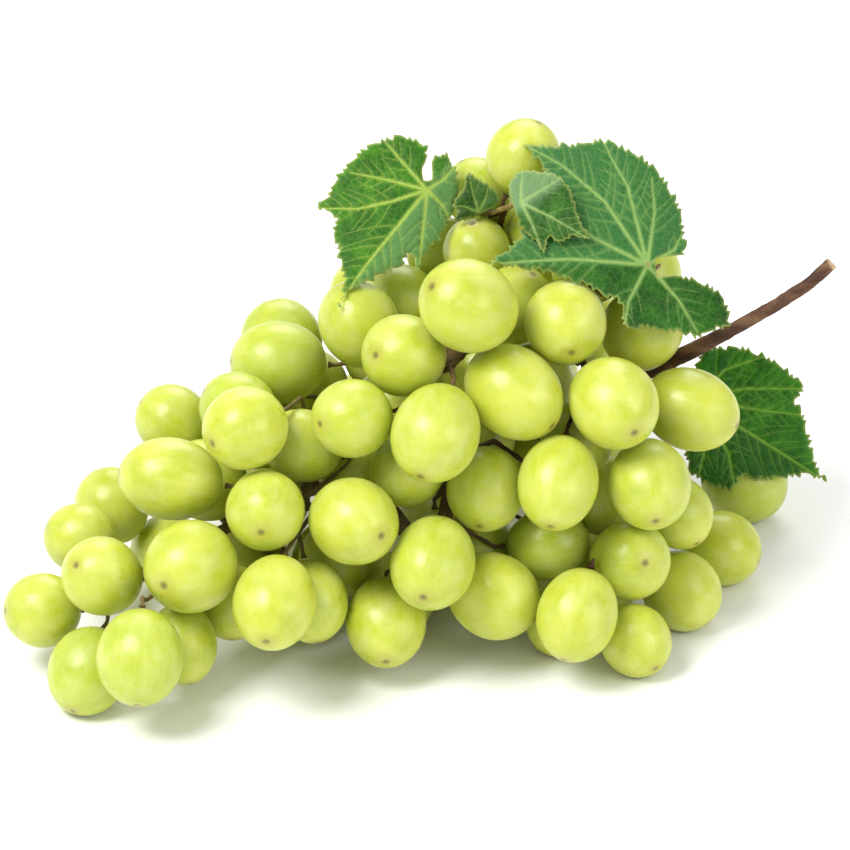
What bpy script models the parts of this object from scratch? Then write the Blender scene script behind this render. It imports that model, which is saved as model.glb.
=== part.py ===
"""A bunch of white grapes lying on a table, with its stem and five leaves.

Lengths are in millimetres until a mesh is made, then in metres, with +Z up. The table is Z = 0.
The places of the berries that show from the front are chosen on a picture slope: a plane through
the X axis that leans back 30 degrees. On it, `across` runs along +X, `up` runs up the slope and
`out` stands square to it, towards the front and up.
"""
import heapq
import math

import bmesh
import bpy
import numpy as np
from mathutils import Matrix, Vector

# ---- driving dimensions, millimetres and degrees ----
MM = 0.001
LEAN = math.radians(30)
SIN = math.sin(LEAN)
COS = math.cos(LEAN)
GAP = 0.35
PRESSED_FLAT = 0.9
SEED = 7
SETTLE_STEPS = 700
SQUEEZE_STEPS = 400
CHANNEL_STEPS = 400
SPACE_POINTS = 16000
END_POINTS = 260
END_REACH = 16

BERRY_SIDES = 8
BERRY_RINGS = 6
SEAT_RADIUS = 1.5
SINGLE_BERRIES = 42
GROUPS = 12
LARGEST_GROUP = 6
REAR_WIDTH = (19.5, 22.0)
REAR_STRETCH = (1.04, 1.14)
REAR_BERRIES = 42
REST_HEIGHT = 10.5
# Rounds on the slope that the leaves cover: across, up, radius, and how far out they hide.
LEAF_SHADES = (
    (41, 97, 22, 22),
    (52, 80, 16, 15),
    (-10, 100, 14, 15),
    (-12, 86, 10, 15),
    (86, 42, 16, -24),
)
LINK_RADIUS = 1.5
LINK_DEPTH = 2.5
LONGEST_LINK = 5.0
WELD = 0.0005

KNOT = (16.3, 97.9)
KNOT_RADIUS = 1.5
STALK_RADIUS = 0.8
FIRST_BRANCH = 7

TWIG_RADIUS = 0.75
TWIG_CHANNEL = 1.15
TWIG_SIDES = 5
STEM_SIDES = 8
COLLAR_RADIUS = 1.35

BLADE = 0.6
BLADE_RINGS = (0.34, 0.68, 1.0)

# The bunch's outer shape, through the berries' centres: a low dome along X.
# Each row: across, the middle in Y, half the depth in Y, the height above REST_HEIGHT.
DOME = (
    (-106, -30, 3, 2),
    (-88, -33, 24, 20),
    (-64, -20, 42, 42),
    (-40, -8, 47, 58),
    (-18, 0, 48, 68),
    (5, 6, 48, 80),
    (25, 14, 50, 96),
    (42, 14, 50, 88),
    (60, 18, 48, 66),
    (75, 24, 36, 46),
    (92, 32, 10, 12),
)

# The berries that show from the front. Each row: across, up, how far it is tucked in behind the
# dome's front (None for a berry that rests on the table), width, length, and the direction of its
# free end: its turn on the slope, from +across towards +up, and its tilt out of the slope.
FRONT_BERRIES = (
    (-99.0, -5.0, 0, 19.5, 20.5, 180, 20),
    (-86.5, -20.5, None, 21.0, 24.0, -110, 20),
    (-73.0, -16.5, -6, 22.5, 25.5, -95, 20),
    (-62.5, -13.5, 10, 18.0, 21.5, -80, 10),
    (-83.0, 4.0, -2, 20.5, 22.5, 155, 50),
    (-89.5, 13.5, 8, 18.5, 19.5, 160, 10),
    (-82.0, 21.5, 8, 19.5, 21.0, 120, 10),
    (-65.5, 29.0, 0, 21.5, 27.5, 173, 8),
    (-66.0, 44.0, 6, 19.0, 20.0, 150, 10),
    (-60.0, 6.5, 0, 24.0, 26.0, 215, 50),
    (-38.5, 58.5, 6, 22.0, 25.5, 178, 10),
    (-47.5, 47.0, 14, 19.5, 21.0, 150, 10),
    (-46.0, 42.0, 0, 21.5, 23.0, 200, 40),
    (-41.0, 21.0, 0, 20.5, 22.0, 250, 50),
    (-32.0, 38.0, 12, 19.0, 21.0, 150, 30),
    (-18.5, 44.5, 0, 20.5, 22.0, 190, 40),
    (-38.5, -2.5, 0, 21.5, 27.5, -80, 25),
    (-29.0, -2.5, 12, 19.0, 22.0, -80, 10),
    (-18.0, 18.0, 0, 22.5, 25.5, -27, 50),
    (-16.5, 69.0, 8, 21.0, 24.0, 120, 5),
    (-5.5, 61.0, 2, 21.5, 23.0, 180, 50),
    (11.0, 73.0, 1, 24.0, 28.0, 169, 38),
    (2.5, 41.0, 0, 23.0, 27.0, 242, 30),
    (23.0, 52.0, 0, 23.0, 28.5, -42, 20),
    (35.5, 69.0, 16, 21.5, 23.0, -80, 45),
    (48.5, 48.5, -2, 23.0, 26.5, -56, 45),
    (69.0, 47.0, -2, 21.5, 26.5, -20, 15),
    (56.5, 68.0, 8, 21.5, 23.0, 60, 20),
    (14.0, 87.5, 16, 18.0, 19.5, 100, 40),
    (25.5, 112.5, 8, 19.5, 21.0, 90, 10),
    (14.0, 103.5, 14, 18.0, 19.5, 120, 10),
    (-4.0, 31.5, 12, 19.5, 21.0, 200, 30),
    (15.5, 26.5, 4, 20.5, 23.0, -100, 30),
    (34.0, 28.0, 0, 21.0, 26.0, 258, 25),
    (58.0, 27.5, -2, 21.5, 25.5, -82, 40),
    (46.0, 24.5, 12, 19.0, 21.5, -90, 20),
    (66.0, 20.0, 10, 18.0, 20.0, -60, 20),
    (2.0, 7.5, 0, 22.0, 28.0, 255, 25),
    (-10.5, -8.0, 0, 21.0, 25.0, -90, 35),
    (18.0, -0.5, 8, 22.5, 25.0, -30, 10),
    (31.5, 11.5, 8, 18.5, 22.0, 0, 10),
    (52.5, 8.0, 0, 21.0, 22.5, -60, 50),
    (39.5, -6.0, 0, 21.0, 25.0, 248, 35),
    (54.5, -13.0, None, 18.5, 20.0, -60, 20),
    (35.5, -8.0, 14, 18.5, 20.0, -90, 10),
    (67.0, -0.5, None, 20.5, 22.0, -30, 20),
    (78.0, 10.5, None, 20.0, 21.5, -20, 10),
    (85.0, 27.5, None, 21.5, 23.5, -15, 5),
    (23.5, 74.5, 22, 20.0, 21.5, 60, 30),
    (-6.5, 74.5, 12, 20.0, 21.5, 120, 20),
    (5.0, 88.0, 12, 19.0, 20.5, 120, 20),
    (-50.0, -3.0, 20, 18.5, 20.0, -90, 10),
    (-23.5, 7.5, 20, 19.0, 20.5, -90, 20),
    (-18.5, 31.0, 20, 19.0, 20.5, 120, 20),
    (39.5, 39.0, 20, 19.0, 20.5, 60, 20),
    (14.5, 11.5, 20, 19.0, 20.5, -90, 20),
    (58.0, 82.0, 8, 19.0, 20.5, 60, 20),
    (43.0, 84.0, 18, 20.0, 21.5, 60, 30),
    (31.0, 93.0, 24, 20.0, 21.5, 60, 30),
)

# The main stem's middle line, from the cut end to the tip of the bunch, and its radius.
MAIN_STEM = (
    (106.0, 19.2, 87.3, 1.9),
    (100.0, 17.3, 82.0, 1.75),
    (92.0, 15.6, 77.0, 1.8),
    (80.0, 13.1, 70.6, 1.9),
    (70.0, 11.5, 65.5, 2.3),
    (56.0, 13.0, 57.0, 2.3),
    (36, 14, 50.0, 2.3),
    (12, 7, 44.0, 2.1),
    (-14, 1, 37.0, 1.9),
    (-40, -8, 30.0, 1.7),
    (-62, -20, 24.0, 1.5),
    (-78, -32, 19.0, 1.3),
)


def to_world(across, up, out):
    """Turn a place on the picture slope into X, Y and Z."""
    return np.array([across, up * SIN - out * COS, up * COS + out * SIN])


TO_WORLD = np.stack([to_world(1, 0, 0), to_world(0, 1, 0), to_world(0, 0, 1)], axis=1)


def unit(vectors):
    """Scale each vector to length one."""
    return vectors / np.linalg.norm(vectors, axis=-1, keepdims=True)


# ---- the berries' places ----
def dome_row(across):
    """Middle, half depth and height of the dome's section at this X."""
    stations = np.array(DOME, dtype=float)
    return [np.interp(across, stations[:, 0], stations[:, k]) for k in (1, 2, 3)]


def front_of_dome(across, up):
    """How far out the dome's front stands at this place on the slope."""
    middle, depth, height = dome_row(across)
    y = up * SIN - middle
    z = up * COS - REST_HEIGHT
    a = (COS / depth) ** 2 + (SIN / height) ** 2
    b = -y * COS / depth ** 2 + z * SIN / height ** 2
    c = (y / depth) ** 2 + (z / height) ** 2 - 1
    return (-b + math.sqrt(max(b * b - a * c, 0))) / a


class Pack:
    """All berries: centres, free-end directions, radii and half lengths, one row each."""

    def __init__(self):
        self.centre = []
        self.axis = []
        self.radius = []
        self.half = []
        self.give = []
        self.rests = []

    def add(self, centre, axis, width, length, give, rests):
        """Add a berry; `give` says how freely it may be moved in each direction."""
        self.centre.append(centre)
        self.axis.append(axis)
        self.radius.append(width / 2)
        self.half.append(length / 2)
        self.give.append(give)
        self.rests.append(rests)

    def freeze(self):
        """Turn the lists into arrays and remember where each berry wants to be."""
        for name in ("centre", "axis", "radius", "half", "give", "rests"):
            setattr(self, name, np.array(getattr(self, name)))
        self.home = self.centre.copy()
        return self

    def reach(self, rows, normal):
        """Distance from the centres of these rows to their tangent planes facing `normal`."""
        along = np.sum(normal * self.axis[rows], axis=-1)
        stretch = self.half[rows] ** 2 - self.radius[rows] ** 2
        return np.sqrt(self.radius[rows] ** 2 + stretch * along ** 2)

    def touch(self, rows, normal):
        """Offset from the centres of these rows to the points whose tangent planes face `normal`."""
        along = np.sum(normal * self.axis[rows], axis=-1)[:, None]
        stretch = (self.half[rows] ** 2 - self.radius[rows] ** 2)[:, None]
        curve = self.radius[rows][:, None] ** 2 * normal + stretch * along * self.axis[rows]
        return curve / self.reach(rows, normal)[:, None]

    def gaps(self, first, second):
        """Facing direction and gap between pairs of berries; a negative gap is an overlap."""
        between = self.centre[second] - self.centre[first]
        length = np.linalg.norm(between, axis=1, keepdims=True)
        normal = between / length
        for _ in range(7):
            slope = between - self.touch(first, normal) - self.touch(second, normal)
            slope -= np.sum(slope * normal, axis=1, keepdims=True) * normal
            normal = unit(normal + slope / length)
        gap = np.sum(between * normal, axis=1)
        return normal, gap - self.reach(first, normal) - self.reach(second, normal)

    def neighbours(self, within):
        """Index pairs of berries whose centres are closer than `within`."""
        first, second = np.triu_indices(len(self.centre), 1)
        apart = np.linalg.norm(self.centre[second] - self.centre[first], axis=1)
        near = apart < within
        return first[near], second[near]

    def clearance(self, points, skip=-1):
        """Distance from each point to the nearest berry but `skip`, negative inside one."""
        best = np.full(len(points), 1e9)
        for row in range(len(self.centre)):
            if row == skip:
                continue
            offset = points - self.centre[row]
            along = offset @ self.axis[row]
            across = np.sqrt(np.maximum(np.sum(offset ** 2, axis=1) - along ** 2, 0))
            scale = np.hypot(across / self.radius[row], along / self.half[row]) + 1e-9
            best = np.minimum(best, np.linalg.norm(offset, axis=1) * (1 - 1 / scale))
        return best


def front_give():
    """A front berry slides easily in and out of the slope, and hardly along it."""
    return TO_WORLD @ np.diag([0.12, 0.12, 1.0]) @ TO_WORLD.T


def add_front_berries(pack):
    """Place the berries that show, each on the dome's front or on the table."""
    for across, up, tuck, width, length, turn, tilt in FRONT_BERRIES:
        turn, tilt = math.radians(turn), math.radians(tilt)
        flat = math.cos(tilt)
        axis = to_world(flat * math.cos(turn), flat * math.sin(turn), math.sin(tilt))
        if tuck is None:
            out = (width / 2 - up * COS) / SIN
        else:
            out = front_of_dome(across, up) - tuck
        pack.add(to_world(across, up, out), axis, width, length, front_give(), tuck is None)


def rear_candidates():
    """Places on the dome's back, from over the top down to the table, and under the bunch."""
    places = []
    for across in np.arange(-92, 90, 3.0):
        middle, depth, height = dome_row(across)
        for scale in (1.0, 0.55):
            for angle in np.radians(np.arange(0, 130, 4.0)):
                y = middle + scale * depth * math.cos(angle)
                z = REST_HEIGHT + scale * height * math.sin(angle)
                places.append((across, y, z))
        for share in np.arange(-0.8, 1.0, 0.1):
            places.append((across, middle + depth * share, REST_HEIGHT))
    return np.array(places)


def stays_hidden(pack, places):
    """Whether a berry at each place would be covered, as the slope is seen, by what is in front."""
    radius = 10.0
    slope = places @ TO_WORLD
    centres = np.array(pack.centre) @ TO_WORLD
    hidden = np.ones(len(places), dtype=bool)
    for angle in np.radians(np.arange(0, 360, 30)):
        across = slope[:, 0] + radius * math.cos(angle)
        up = slope[:, 1] + radius * math.sin(angle)
        near = np.zeros(len(places), dtype=bool)
        for centre, size in zip(centres, pack.radius):
            covered = np.hypot(across - centre[0], up - centre[1]) < size + 1.0
            near |= covered & (slope[:, 2] < centre[2] - 4.0)
        for middle, height, size, limit in LEAF_SHADES:
            near |= (np.hypot(across - middle, up - height) < size) & (slope[:, 2] < limit)
        hidden &= near
    return hidden


def add_rear_berries(pack, rng):
    """Fill the back and the underside, each berry as close as it fits to those before it."""
    places = rear_candidates()
    places = places[stays_hidden(pack, places)]
    stem = np.array(MAIN_STEM)[:, :3]
    taken = np.array(pack.centre)
    for _ in range(REAR_BERRIES):
        apart = np.linalg.norm(places[:, None] - taken[None], axis=2)
        from_stem = np.linalg.norm(places[:, None] - stem[None], axis=2).min(axis=1)
        apart.sort(axis=1)
        crowd = apart[:, :3].sum(axis=1)
        crowd[(apart[:, 0] < 20.0) | (from_stem < 15)] = 1e9
        pick = int(np.argmin(crowd))
        if crowd[pick] > 1e8:
            break
        place = places[pick]
        middle, _, height = dome_row(place[0])
        outward = place - np.array([place[0] * 0.8, middle, REST_HEIGHT + 0.3 * height])
        axis = unit(unit(outward) + rng.normal(0, 0.25, 3) + np.array([0, 0, 0.25]))
        width = rng.uniform(*REAR_WIDTH)
        length = width * rng.uniform(*REAR_STRETCH)
        pack.add(place, axis, width, length, np.eye(3), place[2] <= REST_HEIGHT + 1)
        taken = np.vstack([taken, place])


def pull_home(pack, front):
    """Draw the berries towards their chosen places and the resting ones down to the table."""
    drift = (pack.home - pack.centre) @ TO_WORLD
    drift[:front] *= (0.15, 0.15, 0.02)
    drift[front:] *= 0.02
    pack.centre += drift @ TO_WORLD.T
    rows = np.flatnonzero(pack.rests)
    low = pack.centre[rows, 2] - pack.reach(rows, np.array([0, 0, 1.0]))
    drop = (-PRESSED_FLAT - low) * 0.4
    for row, fall in zip(rows, drop):
        if row < front:
            pack.centre[row] += to_world(0, 0, fall / SIN)
        else:
            pack.centre[row, 2] += fall


def push_off_stem(pack):
    """Move berries that touch the main stem away from it."""
    points = np.array(MAIN_STEM)
    for start, end in zip(points[:-1], points[1:]):
        run = end[:3] - start[:3]
        share = np.clip((pack.centre - start[:3]) @ run / (run @ run), 0, 1)
        away = pack.centre - start[:3] - share[:, None] * run
        apart = np.linalg.norm(away, axis=1)
        away /= apart[:, None]
        rows = np.arange(len(pack.centre))
        radius = start[3] + share * (end[3] - start[3])
        short = pack.reach(rows, away) + radius + 2 * GAP - apart
        pack.centre += away * np.maximum(short, 0)[:, None] * 0.6


def push_apart(pack):
    """Move overlapping berries apart, each in the directions in which it gives."""
    first, second = pack.neighbours(32)
    normal, gap = pack.gaps(first, second)
    close = gap < GAP + 0.05
    first, second, normal = first[close], second[close], normal[close]
    short = GAP + 0.05 - gap[close]
    move_first = np.einsum("nij,nj->ni", pack.give[first], normal)
    move_second = np.einsum("nij,nj->ni", pack.give[second], normal)
    ease = np.sum(normal * (move_first + move_second), axis=1)
    size = (0.55 * short / ease)[:, None]
    np.add.at(pack.centre, first, -move_first * size)
    np.add.at(pack.centre, second, move_second * size)
    return float(np.min(gap))


def keep_above_table(pack):
    """Lift any berry that is deeper in the table than a pressed one."""
    rows = np.arange(len(pack.centre))
    low = pack.centre[:, 2] - pack.reach(rows, np.array([0, 0, 1.0]))
    lift = np.maximum(-PRESSED_FLAT - low, 0)
    upward = pack.give[:, :, 2]
    pack.centre += upward * (lift / upward[:, 2])[:, None]


def settle(pack, front):
    """Pack the berries: first held near their places, then only kept apart."""
    for step in range(SETTLE_STEPS):
        if step < SQUEEZE_STEPS:
            pull_home(pack, front)
        push_off_stem(pack)
        keep_above_table(pack)
        tightest = push_apart(pack)
        if step > SQUEEZE_STEPS and tightest > GAP - 0.03:
            break
    return tightest


# ---- the leaves' shapes ----
# Each outline runs anticlockwise on the slope from the notch at the leaf stalk, relative to the
# point where the stalk meets the blade.
LEFT_OUTLINE = (
    (-0.2, 8.9), (-0.6, 11.2), (-3.4, 13.7), (-7.1, 14.2), (-11.0, 13.4), (-16.0, 11.3),
    (-21.0, 6.6), (-24.0, 2.9), (-26.6, -2.6), (-29.5, -4.7), (-25.0, -6.0), (-23.7, -7.6),
    (-24.7, -11.6), (-23.4, -15.0), (-22.6, -19.7), (-21.3, -24.2), (-23.9, -31.8), (-19.0, -26.0),
    (-16.0, -24.5), (-10.3, -21.6), (-6.8, -19.7), (-4.2, -16.8), (-2.4, -21.6), (-0.8, -18.2),
    (0.8, -15.5), (3.9, -12.4), (5.8, -8.4), (7.6, -3.2), (8.4, 0.8), (7.4, 6.6), (5.0, 9.7),
    (2.4, 9.2),
)
LARGE_OUTLINE = (
    (9.7, 2.9), (10.0, 6.6), (9.7, 11.3), (8.2, 16.6), (5.5, 21.3),
    (1.8, 25.8), (-2.9, 29.5), (-7.4, 31.3), (-12.1, 32.9), (-17.9, 31.8), (-23.2, 31.6),
    (-31.3, 31.1), (-28.2, 26.8), (-26.0, 23.4), (-27.0, 18.0), (-30.0, 13.0), (-32.4, 8.7),
    (-35.5, 4.5), (-41.0, 0.3), (-36.3, -0.6), (-29.7, -1.2), (-24.5, -2.6), (-19.2, -4.2),
    (-13.9, -6.3), (-11.3, -8.2), (-7.9, -9.0), (-7.0, -12.4), (-6.0, -16.2), (-0.8, -16.3),
    (3.2, -17.4), (8.4, -17.1), (12.4, -18.9), (17.6, -16.8), (20.8, -15.8), (22.1, -13.2),
    (20.3, -8.9), (16.6, -5.3), (12.4, -3.4),
)
RIGHT_OUTLINE = (
    (-1.8, -1.3), (-2.6, -6.6), (-2.6, -14.5), (-1.2, -19.0), (2.1, -21.8), (6.0, -23.2),
    (10.5, -23.9), (12.6, -20.3), (17.9, -21.0), (24.5, -20.5), (30.3, -20.0), (35.0, -21.6),
    (32.4, -17.1), (31.0, -11.8), (30.0, -7.9), (29.2, -4.0), (27.1, -0.5), (29.2, 3.2),
    (26.3, 6.6), (22.6, 9.5), (17.9, 12.1), (12.6, 14.0), (8.2, 14.0), (4.0, 14.0), (1.3, 12.6),
    (0.3, 9.2), (-0.8, 2.6),
)
SMALL_RIGHT_OUTLINE = (
    (-1.3, -2.9), (-0.3, -6.3), (1.8, -8.7), (4.2, -10.6), (5.8, -13.2), (7.6, -8.9),
    (9.7, -10.5), (13.4, -8.9), (17.6, -9.5), (14.7, -3.4), (13.4, 1.8), (11.3, 5.5), (8.2, 7.6),
    (4.2, 8.2), (0.8, 8.4), (-1.8, 7.1), (-3.2, 5.0), (-2.9, 1.8),
)
SMALL_LEFT_OUTLINE = (
    (2.1, 0.3), (4.5, 1.1), (5.5, 3.2), (4.5, 5.5), (2.1, 7.6), (0.0, 8.7), (-2.6, 10.5),
    (-3.7, 8.4), (-3.9, 6.6), (-5.5, 4.2), (-6.8, 1.8), (-5.5, 0.3), (-6.6, -2.1), (-3.9, -2.1),
    (-1.6, -1.6),
)


class Leaf:
    """A blade over the slope: where its stalk joins, its outline, and how it bends outwards.

    `tilt` is how far it rises per millimetre across and up, `rib` the direction of its middle rib
    in degrees, `fold` how steeply the halves rise from the rib, `bow` where across and how fast it
    bends back like a saddle, and `wave` the height and count of the ripples along its margin. It
    lies over berries that stand out less than `over`; a rooted leaf's stalk runs into the bunch,
    and the others' stalks start at the knot.
    """

    def __init__(self, name, joint, outline, tilt, rib, fold, bow, wave, over, rooted):
        self.name = name
        self.joint = np.array(joint, dtype=float)
        self.outline = np.array(outline)
        self.tilt = tilt
        self.rib = math.radians(rib)
        self.fold = fold
        self.bow = bow
        self.wave = wave
        self.over = over
        self.rooted = rooted
        self.out = 0.0

    def height(self, across, up):
        """How far out the blade's middle surface stands, relative to the stalk's joint."""
        radius = np.hypot(across, up)
        aside = across * math.sin(self.rib) - up * math.cos(self.rib)
        rise = self.tilt[0] * across + self.tilt[1] * up
        rise = rise + self.fold * (np.sqrt(aside ** 2 + 4.0) - 2.0)
        rise = rise - self.bow[1] * (across - self.bow[0]) ** 2
        size, count = self.wave
        angle = np.arctan2(up, across)
        return rise + size * (radius / 25) ** 2 * np.sin(count * angle)

    def covers(self, across, up):
        """Whether places on the slope lie inside the outline."""
        corners = np.vstack([self.joint, self.joint + self.outline])
        inside = np.zeros(np.shape(across), dtype=bool)
        for start, end in zip(corners, np.roll(corners, -1, axis=0)):
            spans = (start[1] > up) != (end[1] > up)
            run = (end[1] - start[1]) or 1e-9
            crossing = start[0] + (up - start[1]) * (end[0] - start[0]) / run
            inside ^= spans & (across < crossing)
        return inside

    def places(self, shares):
        """Grid of places relative to the joint: one row per share of the way to the outline."""
        return np.array([[share * point for point in self.outline] for share in shares])


LEAVES = (
    Leaf("leaf_right", (71.5, 49.5), RIGHT_OUTLINE, (-0.12, 0.0), -35, 0.10, (10, 0.002),
         (0.8, 5), 5.0, True),
    Leaf("leaf_left", (0.5, 104.0), LEFT_OUTLINE, (-0.20, -0.35), 234, -0.20, (-8, 0.004),
         (0.8, 5), 45.0, True),
    Leaf("leaf_large", (57.4, 84.2), LARGE_OUTLINE, (-0.10, -0.40), 180, -0.06, (-20, 0.008),
         (1.0, 5), 46.0, True),
    Leaf("leaf_small_left", (13.9, 98.2), SMALL_LEFT_OUTLINE, (0.1, -0.1), 100, 0.2, (0, 0.01),
         (0.5, 4), 32.0, False),
    Leaf("leaf_small_right", (24.7, 100.3), SMALL_RIGHT_OUTLINE, (0.10, -0.2), -28, -0.2,
         (5, 0.01), (0.5, 4), 45.0, False),
)


def front_of_berries(pack, rows, across, up, spare):
    """How far out the given berries' fronts reach at places on the slope, or a low value."""
    best = np.full(np.shape(across), -1e9)
    for row in rows:
        centre = pack.centre[row] @ TO_WORLD
        axis = pack.axis[row] @ TO_WORLD
        radius = pack.radius[row] + spare
        half = pack.half[row] + spare
        form = np.eye(3) / radius ** 2 + (1 / half ** 2 - 1 / radius ** 2) * np.outer(axis, axis)
        a = across - centre[0]
        u = up - centre[1]
        linear = form[0, 2] * a + form[1, 2] * u
        rest = form[0, 0] * a * a + 2 * form[0, 1] * a * u + form[1, 1] * u * u - 1
        under = linear ** 2 - form[2, 2] * rest
        hit = under > 0
        front = centre[2] + (-linear + np.sqrt(np.maximum(under, 0))) / form[2, 2]
        best = np.where(hit, np.maximum(best, front), best)
    return best


def place_leaf(leaf, pack, rows, below):
    """Lay the leaf on the given berries and on the leaves below it, touching neither."""
    shares = np.linspace(0.05, 1.0, 20)
    outline = leaf.outline
    steps = np.linspace(0, 1, 5)[:-1]
    ends = np.roll(outline, -1, axis=0)[:-1]
    dense = np.array([a + (b - a) * s for a, b in zip(outline[:-1], ends) for s in steps])
    grid = shares[:, None, None] * dense[None]
    across = leaf.joint[0] + grid[..., 0]
    up = leaf.joint[1] + grid[..., 1]
    need = front_of_berries(pack, rows, across, up, 1.0)
    for other in below:
        top = other.out + other.height(across - other.joint[0], up - other.joint[1]) + 2 * BLADE
        need = np.where(other.covers(across, up), np.maximum(need, top), need)
    own = leaf.height(grid[..., 0], grid[..., 1]) - BLADE / 2
    leaf.out = float(np.max(need - own))


# ---- the stem's branches ----
class Twigs:
    """A tree of points: every berry, leaf stalk and knot is led back to the main stem."""

    def __init__(self):
        self.points = []
        self.parent = []
        self.radius = []

    def add(self, point, parent, radius):
        """Add a point that hangs on `parent`, and return its number."""
        self.points.append(np.array(point, dtype=float))
        self.parent.append(parent)
        self.radius.append(radius)
        return len(self.points) - 1


def clear_line(pack, start, end, channel):
    """Whether a straight line keeps `channel` away from every berry."""
    count = max(3, int(np.linalg.norm(end - start) / 1.2))
    shares = np.linspace(0, 1, count)[:, None]
    return bool(np.min(pack.clearance(start + shares * (end - start))) > channel)


def free_seats(pack, front):
    """Turn berries a little where their stem end faces a neighbour, so a pedicel can leave."""
    rng = np.random.default_rng(SEED)
    trials = 160
    for row in range(len(pack.centre)):
        first = pack.axis[row].copy()
        widest = 0.9 if row < front else 1.6
        for trial in range(trials):
            axis = unit(first + rng.normal(0, 1, 3) * widest * trial / trials)
            seat = pack.centre[row] - axis * pack.half[row]
            leads = np.array([seat - axis * lead for lead in (0.6, 2.2, 3.4, 4.6)])
            room = pack.clearance(leads, skip=row)
            if leads[:, 2].min() > 2.5 and room.min() > COLLAR_RADIUS + GAP + 0.1:
                pack.axis[row] = axis
                break


def channel_points(pack, ends, rng):
    """Random places between the berries, inside the bunch and around the outer ends."""
    low = pack.centre.min(axis=0)
    high = pack.centre.max(axis=0)
    inner = rng.uniform(low, high, (SPACE_POINTS, 3))
    rows = np.array([dome_row(x) for x in inner[:, 0]])
    side = (inner[:, 1] - rows[:, 0]) / rows[:, 1]
    rise = (inner[:, 2] - REST_HEIGHT) / rows[:, 2]
    inner = inner[(side ** 2 + rise ** 2 < 1.0) & (inner[:, 2] > 4)]
    outer = [end + rng.uniform(-END_REACH, END_REACH, (END_POINTS, 3)) for end in ends]
    points = np.vstack([inner] + outer)
    return points[pack.clearance(points) > TWIG_CHANNEL + 0.1]


def below_leaves(points):
    """Whether places are well behind every leaf that covers them."""
    slope = points @ TO_WORLD
    good = np.ones(len(points), dtype=bool)
    for leaf in LEAVES:
        across = slope[:, 0] - leaf.joint[0]
        up = slope[:, 1] - leaf.joint[1]
        surface = leaf.out + leaf.height(across, up)
        covered = leaf.covers(slope[:, 0], slope[:, 1])
        good &= ~covered | (slope[:, 2] < surface - 2.5)
    return good


def main_stem_points():
    """The main stem's points about 5 mm apart, with their radii."""
    rows = np.array(MAIN_STEM, dtype=float)
    smooth = [rows[0]]
    for start, end in zip(rows[:-1], rows[1:]):
        count = max(1, round(np.linalg.norm(end[:3] - start[:3]) / 6))
        smooth += [start + (end - start) * step / count for step in range(1, count + 1)]
    return np.array(smooth)


def shortest_ways(points, sources, links):
    """Parent of each point on its shortest way to a source point."""
    cost = np.full(len(points), 1e9)
    parent = np.full(len(points), -1)
    queue = []
    for source in sources:
        cost[source] = 0
        heapq.heappush(queue, (0.0, int(source)))
    while queue:
        here, point = heapq.heappop(queue)
        if here > cost[point]:
            continue
        for other, length in links[point]:
            if here + length < cost[other] - 1e-9:
                cost[other] = here + length
                parent[other] = point
                heapq.heappush(queue, (cost[other], other))
    return parent, cost


def link_points(pack, points, ends):
    """Clear straight links between near points; an end may reach further for its first link."""
    apart = np.linalg.norm(points[:, None] - points[None], axis=2)
    order = np.argsort(apart, axis=1)
    pairs = {(min(a, int(b)), max(a, int(b))) for a in range(len(points)) for b in order[a, 1:15]}
    for end in ends:
        pairs |= {(min(end, int(b)), max(end, int(b))) for b in order[end, 1:60]}
    pairs = np.array(sorted(pairs))
    pairs = pairs[apart[pairs[:, 0], pairs[:, 1]] < 18]
    start = points[pairs[:, 0]][:, None]
    run = points[pairs[:, 1]][:, None] - start
    samples = (start + run * np.linspace(0.12, 0.88, 8)[:, None]).reshape(-1, 3)
    room = pack.clearance(samples).reshape(len(pairs), -1).min(axis=1)
    behind = below_leaves(samples).reshape(len(pairs), -1).all(axis=1)
    links = [[] for _ in points]
    for a, b in pairs[(room > TWIG_CHANNEL - 0.05) & behind]:
        cost = float(apart[a, b]) ** 1.15
        links[a].append((int(b), cost))
        links[b].append((int(a), cost))
    return links


def settle_with_seats(pack, front):
    """Settle the berries, free their stem ends and part them again until both hold."""
    settle(pack, front)
    for _ in range(3):
        free_seats(pack, front)
        for _ in range(CHANNEL_STEPS):
            push_off_stem(pack)
            keep_above_table(pack)
            tightest = push_apart(pack)
            if tightest > GAP - 0.03:
                break
    return tightest


def lead_out(pack, row, away):
    """A point straight out from a berry's stem end."""
    return pack.centre[row] - pack.axis[row] * (pack.half[row] + away)


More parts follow.
